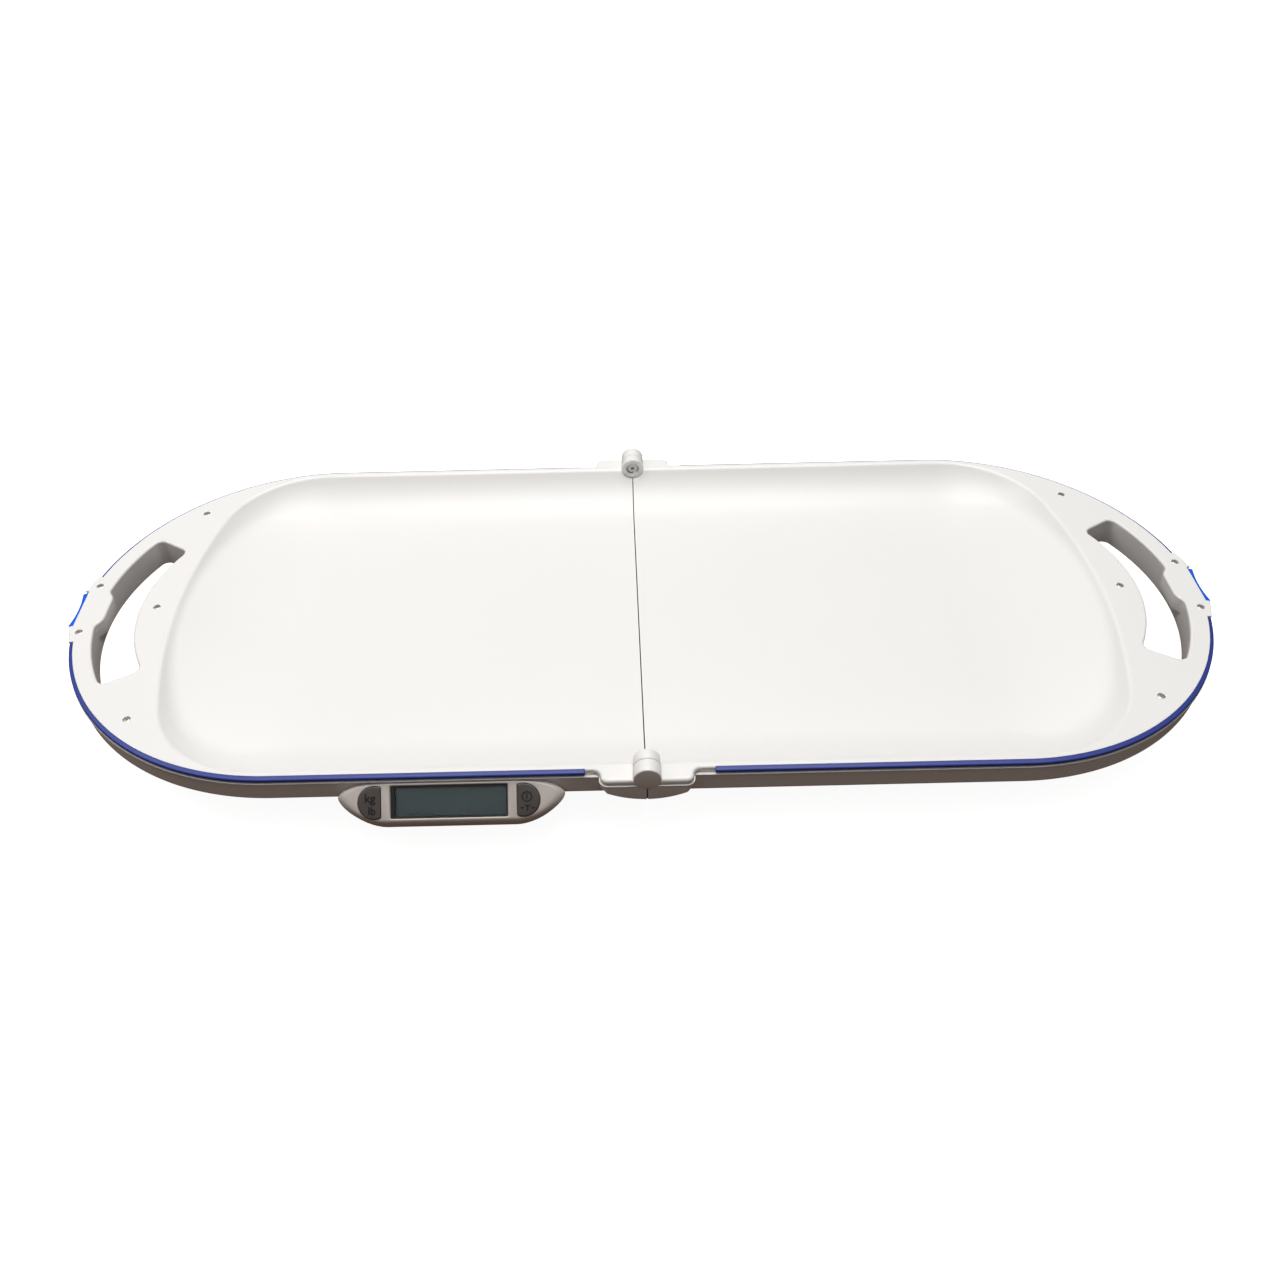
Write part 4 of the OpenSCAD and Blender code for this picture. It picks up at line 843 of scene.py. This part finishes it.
def trim_strip(side, slope):
    """One strip, its top falling outwards by slope."""
    angle = STRIP_END + 0.1
    start = STRIP_START[side] + 0.15
    path = Path()
    if side > 0:
        path.line((-start, RIM_R), (-END_X, RIM_R), 16).arc((-END_X, 0), RIM_R, 90, 180 - angle, 70)
    else:
        path.arc((-END_X, 0), RIM_R, 180 + angle, 270, 70).line((-END_X, -RIM_R), (-start, -RIM_R), 16)
    points, normals = list(path.points), list(path.normals)
    # Extra stations that round the ends.
    for at, way in ((0, 1), (-1, -1)):
        n = np.array(normals[at])
        tangent = np.array((n[1], -n[0])) * way
        extra = [points[at] + tangent * s for s in (0, 0.12, 0.4, 0.8)]
        if at == 0:
            points[0:1], normals[0:1] = extra, [n] * 4
        else:
            points[-1:], normals[-1:] = extra[::-1], [n] * 4
    path.points, path.normals = points, normals
    shrink = np.ones(len(path.done().points))
    shrink[:3] = shrink[-1:-4:-1] = (0.74, 0.88, 0.97)
    top_r, foot_r = 1.2, 2.2
    section = [(PLATE_IN + 0.05, STRIP_TOP)]
    section += quarter((top_r - STRIP_OUT, STRIP_TOP - slope), (-STRIP_OUT, STRIP_TOP - slope - top_r))
    section += quarter_down((-STRIP_OUT, STRIP_FOOT + foot_r), (foot_r - STRIP_OUT, STRIP_FOOT))
    section.append((STRIP_SEAT - 0.1, STRIP_FOOT))
    section += [(STRIP_SEAT - 0.1, RIM_Z - 1.4), (PLATE_IN + 0.05, RIM_Z - 1.4)]
    mid_z = (STRIP_TOP + STRIP_FOOT) / 2
    rows = [path.level(0.3 + (a - 0.3) * shrink, mid_z + (b - mid_z) * shrink) for a, b in section]
    return Skin().strip(rows + [rows[0]]).cap([row[0] for row in rows]).cap([row[-1] for row in rows])


for half, turn in HALVES:
    for side in (-1, 1):
        back = (side > 0) == (turn is None)
        name = half + ("_back" if back else "_front")
        strip = joined([trim_strip(side, 1.1 if back else 0.9)], "strip_" + name, TRIM_BLUE, turn)
        dress(strip, half + "_half", "blue_trim", "trim_strip_" + name)


# ---- latch buttons and screws

def latch_button():
    """The button: its hollow face runs out into round ends."""
    face, hollow, back, bulb, half_w = 432.9, 2.2, 426.0, 2.0, LATCH_HALF_W
    r = (half_w ** 2 + hollow ** 2) / (2 * hollow)
    end_x = -face - r + math.sqrt((r + bulb) ** 2 - (half_w - bulb) ** 2)
    meet = math.degrees(math.atan2(half_w - bulb, end_x + face + r))
    path = Path().line((-back, -half_w + 1), (-back, half_w - 1), 2).line((-back - 1, half_w - 0.5), (end_x, half_w), 2)
    path.arc((end_x, half_w - bulb), bulb, 90, 180 + meet, 10)
    path.arc((-face - r, 0), r, meet, -meet, 18)
    path.arc((end_x, -half_w + bulb), bulb, 180 - meet, 270, 10)
    ring = path.line((end_x, -half_w), (-back - 1, -half_w + 0.5), 2).points
    ring = ring[:1] + [p for p, last in zip(ring[1:], ring) if np.linalg.norm(p - last) > 0.02]
    skin = Skin().prism(rounded_loop(ring, {}), *LATCH_Z, 0.8, 0.9, 6)
    low, high = LATCH_Z[0] + 1.1, 51.7
    skin.add(block(-424.2, -22.8, -422.8, 22.8, low, high, 0.2, 0.2))
    skin.add(block(-back - 1, -19, -422.9, 19, low, high, 0.2, 0.2))
    stem = [(2.6, -back - 0.5), (3.0, -back), (3.0, -back + 5.6), (2.6, -back + 6)]
    return skin.add(Skin().lathe(stem, (0, 0, sum(LATCH_Z) / 2), "x", 24))


def screw_head(x, y):
    profile = [(0.02, 0.95), (0.35, 0.9), (0.8, 0.05), (1.5, 0.02), (2.1, 0.16), (2.55, 0.5), (2.6, 1.25), (1.5, 1.3)]
    profile += [(1.5, 11), (0.9, 12.3), (0.02, 12.4)]
    return Skin().lathe([(r, RIM_Z - 0.25 - down) for r, down in profile], (x, y, 0), "z", 28)


for half, turn in HALVES:
    button = joined([latch_button()], "latch_" + half, LATCH_BLUE, turn)
    dress(button, "latch_" + half, "blue_latch", "latch_button_" + half)
    screws = joined([screw_head(x, y) for x, y in SCREWS], "screws_" + half, STEEL, turn)
    dress(screws, half + "_half", "screw_steel", "tray_screws_" + half)


# ---- display housing

FACE = Matrix.Translation((-DISP_X, FACE_Y, FACE_Z)) @ Matrix.Rotation(math.radians(45), 4, "X")
POD_HALF_L, POD_SHIFT, TIP_LIFT = 76.2, 1.3, 4.2


def boat(half_l, half_h, flat=43.5, power=2.0):
    """An outline with long ends, anticlockwise: elliptical ones, or more pointed ones at a lower power."""
    reach = half_l - flat
    points = []
    for cx, start in ((flat, -90), (-flat, 90)):
        for i in range(25):
            a = math.radians(start + 180 * i / 24)
            c, d = math.cos(a), math.sin(a)
            run, rise = abs(c) ** (2 / power), math.copysign(abs(d) ** (2 / power), d)
            points.append((cx + reach * math.copysign(run, c), half_h * rise + TIP_LIFT * run ** 2))
    return points


def pod_body():
    """The pod: its face swells back to the outline where it meets the case's wall."""
    loops = []
    # How far in from the ends and from both edges, depth and power.
    rounds = ((9.5, 2.6, 0.0, 2.0), (5.5, 1.7, -0.25, 1.9), (3.0, 0.9, -0.8, 1.8), (1.2, 0.3, -1.7, 1.75))
    for end_in, edge_in, w, power in rounds:
        outline = boat(POD_HALF_L - 2 - end_in, 14 - edge_in, power=power)
        loops.append([FACE @ Vector((u + POD_SHIFT, v, w)) for u, v in outline])
    for end_in, top, foot, w in ((1.4, 14.1, 14.6, -2.6), (0.2, 14.3, 15.8, -4.2), (1.2, 14.6, 16.8, -6.2)):
        outline = boat(POD_HALF_L - end_in, (top + foot) / 2, power=1.65)
        loops.append([FACE @ Vector((u + POD_SHIFT, v + (top - foot) / 2, w)) for u, v in outline])
    front = loops[-1]
    wall = [Vector((1.0 - DISP_X + u, -174.0, 38.6 + v)) for u, v in boat(POD_HALF_L - 6, 14.8, 44, 1.6)]
    mid = [Vector((0.6 - DISP_X + u, -186.0, 38.2 + v)) for u, v in boat(POD_HALF_L - 3, 14.9, 44, 1.65)]
    for t in (k / 6 for k in range(1, 7)):
        loops.append([a * (1 - t) ** 2 + b * (2 * t * (1 - t)) + c * t ** 2 for a, b, c in zip(front, mid, wall)])
    bm = bmesh.new()
    for loop in loops:
        for p in loop:
            bm.verts.new(p * MM)
    hull = bmesh.ops.convex_hull(bm, input=bm.verts[:])
    inside = [v for v in hull["geom_interior"] + hull["geom_unused"] if isinstance(v, bmesh.types.BMVert)]
    bmesh.ops.delete(bm, geom=list(set(inside)), context="VERTS")
    return bm


def bisect(bm, place, normal):
    """Takes away what lies on the side the normal points to, and closes the cut."""
    done = bmesh.ops.bisect_plane(bm, geom=bm.verts[:] + bm.edges[:] + bm.faces[:], plane_co=Vector(place) * MM,
                                  plane_no=normal, clear_outer=True, dist=1e-7)
    bmesh.ops.contextual_create(bm, geom=[e for e in done["geom_cut"] if isinstance(e, bmesh.types.BMEdge)])
    bmesh.ops.triangulate(bm, faces=[f for f in bm.faces if len(f.verts) > 4])


def key_loop(side, grow):
    """A half moon, flat towards the display, anticlockwise."""
    r, cut_at = KEY_R + grow, KEY_FLAT + grow
    half = math.degrees(math.acos(-cut_at / r))
    points = []
    for i in range(33):
        a = math.radians(-half + 2 * half * i / 32)
        points.append((side * (KEY_X + r * math.cos(a)), r * math.sin(a)))
    if side < 0:
        points.reverse()
    return rounded_loop(points, {0: 1.0 + grow, 32: 1.0 + grow}, 4)


def face_cutter(path, rows):
    """A closed cutter in the face's frame from (offset, height) rows."""
    return Skin().solid(path.levels(rows)).turned(FACE)


def box_loop(x0, y0, x1, y1, r):
    return rounded_loop([(x0, y0), (x1, y0), (x1, y1), (x0, y1)], {0: r, 1: r, 2: r, 3: r}, 5)


def display_housing():
    bm = pod_body()
    bisect(bm, (0, -177.1, 0), (0, 1, 0))
    bisect(bm, (0, 0, STRIP_FOOT - LEDGE_H - 0.2), (0, 0, 1))
    bmesh.ops.recalc_face_normals(bm, faces=bm.faces)
    w, h = WINDOW_W / 2, WINDOW_H / 2
    cutters = [face_cutter(rounded_loop(boat(67.0, 11.6, power=1.6), {}), ((0, -16.0), (0, -2.2)))]
    window = ((0, -4), (0, -1.0), (-0.25, -0.5), (-0.85, 0.02), (-1.0, 1))
    cutters.append(face_cutter(box_loop(-w, -h, w, h, 0.8), window))
    for side in (-1, 1):
        cutters.append(face_cutter(key_loop(side, 0.25), ((0, -4), (0, -0.4), (-0.1, -0.15), (-0.35, 0.02), (-0.5, 1))))
    return cut(piece_from(bm, "pod", POD), *cutters)


def face_piece(skin, name, material, *dressing):
    """A piece made in the face's frame."""
    dress(joined([skin.turned(FACE)], name, material), *dressing)


dress(display_housing(), "left_half", "grey_pod", "display_housing")

w, h = WINDOW_W / 2 - 0.1, WINDOW_H / 2 - 0.1
# The black frame is real, but it is wider at the left and the top as painted shade of the window recess's inner walls.
outer, inner = box_loop(-w, -h, w, h, 0.7), box_loop(-w + 2.6, -h + 0.6, w - 0.9, h - 1.5, 0.6)
rows = outer.levels(((0, -2.2), (0, -0.6), (0.15, -0.45))) + inner.levels(((0, -0.55), (0, -2.2)))
rim = Skin().strip(rows + [rows[0]], closed=True)
lens = block(-w - 1.4, -h - 1.1, w + 1.4, h + 1.1, -3.8, -2.3, 0.05, 0.05)
panel = block(-w + 3.6, -h + 0.5, w - 0.8, h - 1.5, -6.0, -3.95, 0.05, 0.05)
back = block(-w - 1, -h - 1, w + 1, h + 1, -9.4, -4.05, 0.2, 0.2)
face_piece(rim, "frame_rim", BLACK, "left_half", "black_plastic", "window_frame")
face_piece(lens, "lens", LENS, "left_half", "display_glass", "display_window")
face_piece(panel, "lcd", LCD, "left_half", "lcd_grey", "lcd_module")
face_piece(back, "lcd_carrier", BLACK, "left_half", "lcd_grey")


# ---- keys and their marks

def key_cap(side):
    loop = key_loop(side, 0)
    rows = loop.levels(((-0.9, -3.4), (-0.9, -2.4), (0, -2.35), (0, 0.2), (0.1, 0.45), (0.35, 0.65), (0.75, 0.78)))
    edge, middle = rows[-1], np.array((side * (KEY_X + 2.5), 0, 0))
    for k in (0.92, 0.8, 0.6, 0.35, 0.12):
        row = middle + (edge - middle) * k
        row[:, 2] = 0.78 + 0.32 * (1 - k * k)
        rows.append(row)
    return Skin().solid(rows).add(Skin().lathe([(2, -6.2), (2, -3.0)], (side * KEY_X, 0, 0), "z", 20))


def letters(word, size, u, v, body):
    """A generic mark from the built-in typeface, a hair above the key."""
    curve = bpy.data.curves.new("mark", "FONT")
    curve.body, curve.size, curve.extrude, curve.offset = word, size * MM, 0.05 * MM, 0.16 * MM
    curve.align_x, curve.align_y = "CENTER", "CENTER"
    maker = placed("mark", curve)
    mesh = evaluated(maker)
    bpy.data.objects.remove(maker)
    place = Matrix.Translation(FACE.translation * MM) @ FACE.to_3x3().to_4x4()
    mesh.transform(place @ Matrix.Translation((u * MM, v * MM, 1.12 * MM)))
    bm = bmesh.new()
    bm.from_mesh(mesh)
    bpy.data.meshes.remove(mesh)
    dress(piece_from(bm, "mark_" + word, MARK), body, "black_plastic")


def ring_mark(u, v, outer_r, inner_r):
    profile = [(inner_r, 0.98), (inner_r, 1.16), (outer_r, 1.16), (outer_r, 0.98), (inner_r, 0.98)]
    return Skin().lathe(profile, (u, v, 0), "z", 40, closed=False)


def dash_mark(u, v):
    return block(u - 1.0, v - 0.42, u + 1.0, v + 0.42, 0.95, 1.14, 0.02, 0.02)


for side, node, body in ((-1, "unit_key", "unit_button"), (1, "power_key", "power_button")):
    face_piece(key_cap(side), node + "_cap", KEY, body, "key_grey", node)
letters("kg", 8.0, -52.4, 2.9, "unit_button")
letters("lb", 7.0, -51.2, -5.4, "unit_button")
face_piece(ring_mark(52.0, 2.2, 3.55, 2.75), "mark_ring", MARK, "power_button", "black_plastic")
letters("1", 5.0, 52.0, 2.2, "power_button")
letters("T", 5.6, 52.3, -5.6, "power_button")
for u in (48.6, 56.0):
    face_piece(dash_mark(u, -5.2), "mark_dash", MARK, "power_button", "black_plastic")


# ---- camera, light and ground

FLOOR_SHADE = (0.115, 0.066, 0.044, 1)
FLOOR_GLOW, SKY_LOW, SKY_HIGH = 0.93, 0.02, 0.5


def camera():
    """Fitted to the photograph: a frame of 1280 pixels, a focal length of 1200 and a small shift."""
    data = bpy.data.cameras.new("camera")
    data.sensor_width, data.lens = 36.0, 33.75
    data.shift_x, data.shift_y = 0.0215, 0.0005
    data.clip_start, data.clip_end = 0.05, 20
    right = Vector((0.999744, -0.015161, -0.016796))
    down = Vector((-0.022626, -0.675488, -0.737024))
    ahead = Vector((-0.00017094, 0.737216, -0.675658))
    eye = placed("camera", data)
    turn = Matrix((right, -down, -ahead)).transposed().to_4x4()
    eye.matrix_world = Matrix.Translation((-0.02077, -0.70510, 0.66005)) @ turn
    bpy.context.scene.camera = eye


def lamp(name, place, target, size, power, colour):
    data = bpy.data.lights.new(name, "AREA")
    data.shape, data.size, data.energy, data.color = "DISK", size, power, colour
    light = placed(name, data)
    light.location = place
    light.rotation_euler = (Vector(target) - Vector(place)).to_track_quat("-Z", "Y").to_euler()


def seen(tree):
    """1 for rays from the camera and through glass, 0 for the rays that light the object or mirror in it."""
    path = tree.nodes.new("ShaderNodeLightPath").outputs
    return maths(tree, "MAXIMUM", path["Is Camera Ray"], path["Is Transmission Ray"])


def axes(tree, space):
    """The three numbers of the place that is shaded."""
    split = tree.nodes.new("ShaderNodeSeparateXYZ")
    tree.links.new(tree.nodes.new("ShaderNodeTexCoord").outputs[space], split.inputs["Vector"])
    return split.outputs


def clear_of_painted_seam_shadow(tree):
    """1 on the floor, 0 on a narrow band under the seam: a painted shadow on the floor, so that the gap between the
    halves looks dark.
    """
    beyond, along = [], axes(tree, "Object")
    for axis, middle, half_width in (("X", 0.0, 0.004), ("Y", 0.0465, 0.198)):
        away = maths(tree, "ABSOLUTE", maths(tree, "SUBTRACT", along[axis], middle))
        beyond.append(mapped(tree, away, 0.0, 1.0, half_width, half_width + 0.0005))
    return maths(tree, "MAXIMUM", *beyond)


def ground():
    size = 6.0
    mesh = bpy.data.meshes.new("floor")
    mesh.from_pydata([(-size, -size, 0), (size, -size, 0), (size, size, 0), (-size, size, 0)], [], [(0, 1, 2, 3)])
    floor = placed("floor", mesh)
    material, tree, surface = blank("pale_floor")
    surface.inputs["Roughness"].default_value = 0.9
    surface.inputs["Specular IOR Level"].default_value = 0.0
    surface.inputs["Emission Color"].default_value = (1, 1, 1, 1)
    # The floor glows white for camera rays, except on the painted shadow band under the seam.
    shown = maths(tree, "MULTIPLY", seen(tree), clear_of_painted_seam_shadow(tree))
    own = tree.nodes.new("ShaderNodeMix")
    own.data_type = "RGBA"
    own.inputs["A"].default_value = FLOOR_SHADE
    own.inputs["B"].default_value = (0.5, 0.5, 0.5, 1)
    tree.links.new(shown, own.inputs["Factor"])
    tree.links.new(own.outputs["Result"], surface.inputs["Base Color"])
    tree.links.new(maths(tree, "MULTIPLY", shown, FLOOR_GLOW), surface.inputs["Emission Strength"])
    mesh.materials.append(material)


def sky():
    """White behind the object. What lights it is bright overhead and dark round the sides."""
    world = bpy.data.worlds.new("studio")
    bpy.context.scene.world = world
    world.use_nodes = True
    tree = world.node_tree
    tree.nodes.clear()
    out, mix = tree.nodes.new("ShaderNodeOutputWorld"), tree.nodes.new("ShaderNodeMixShader")
    soft, plain = tree.nodes.new("ShaderNodeBackground"), tree.nodes.new("ShaderNodeBackground")
    soft.inputs["Color"].default_value = (1.0, 0.985, 0.96, 1)
    plain.inputs["Color"].default_value = (1, 1, 1, 1)
    height = mapped(tree, axes(tree, "Generated")["Z"], SKY_LOW, SKY_HIGH, 0.25, 1.0, "SMOOTHSTEP")
    tree.links.new(height, soft.inputs["Strength"])
    tree.links.new(seen(tree), mix.inputs["Fac"])
    tree.links.new(soft.outputs[0], mix.inputs[1])
    tree.links.new(plain.outputs[0], mix.inputs[2])
    tree.links.new(mix.outputs[0], out.inputs["Surface"])


camera()
ground()
sky()
lamp("overhead", (0.0, 0.25, 1.9), (0, 0.05, 0.03), 1.6, 29, (1.0, 0.99, 0.975))
lamp("left", (-1.3, 0.2, 1.3), (-0.2, 0, 0.03), 0.8, 5, (1.0, 0.97, 0.93))
bpy.context.scene.view_settings.view_transform = "Standard"
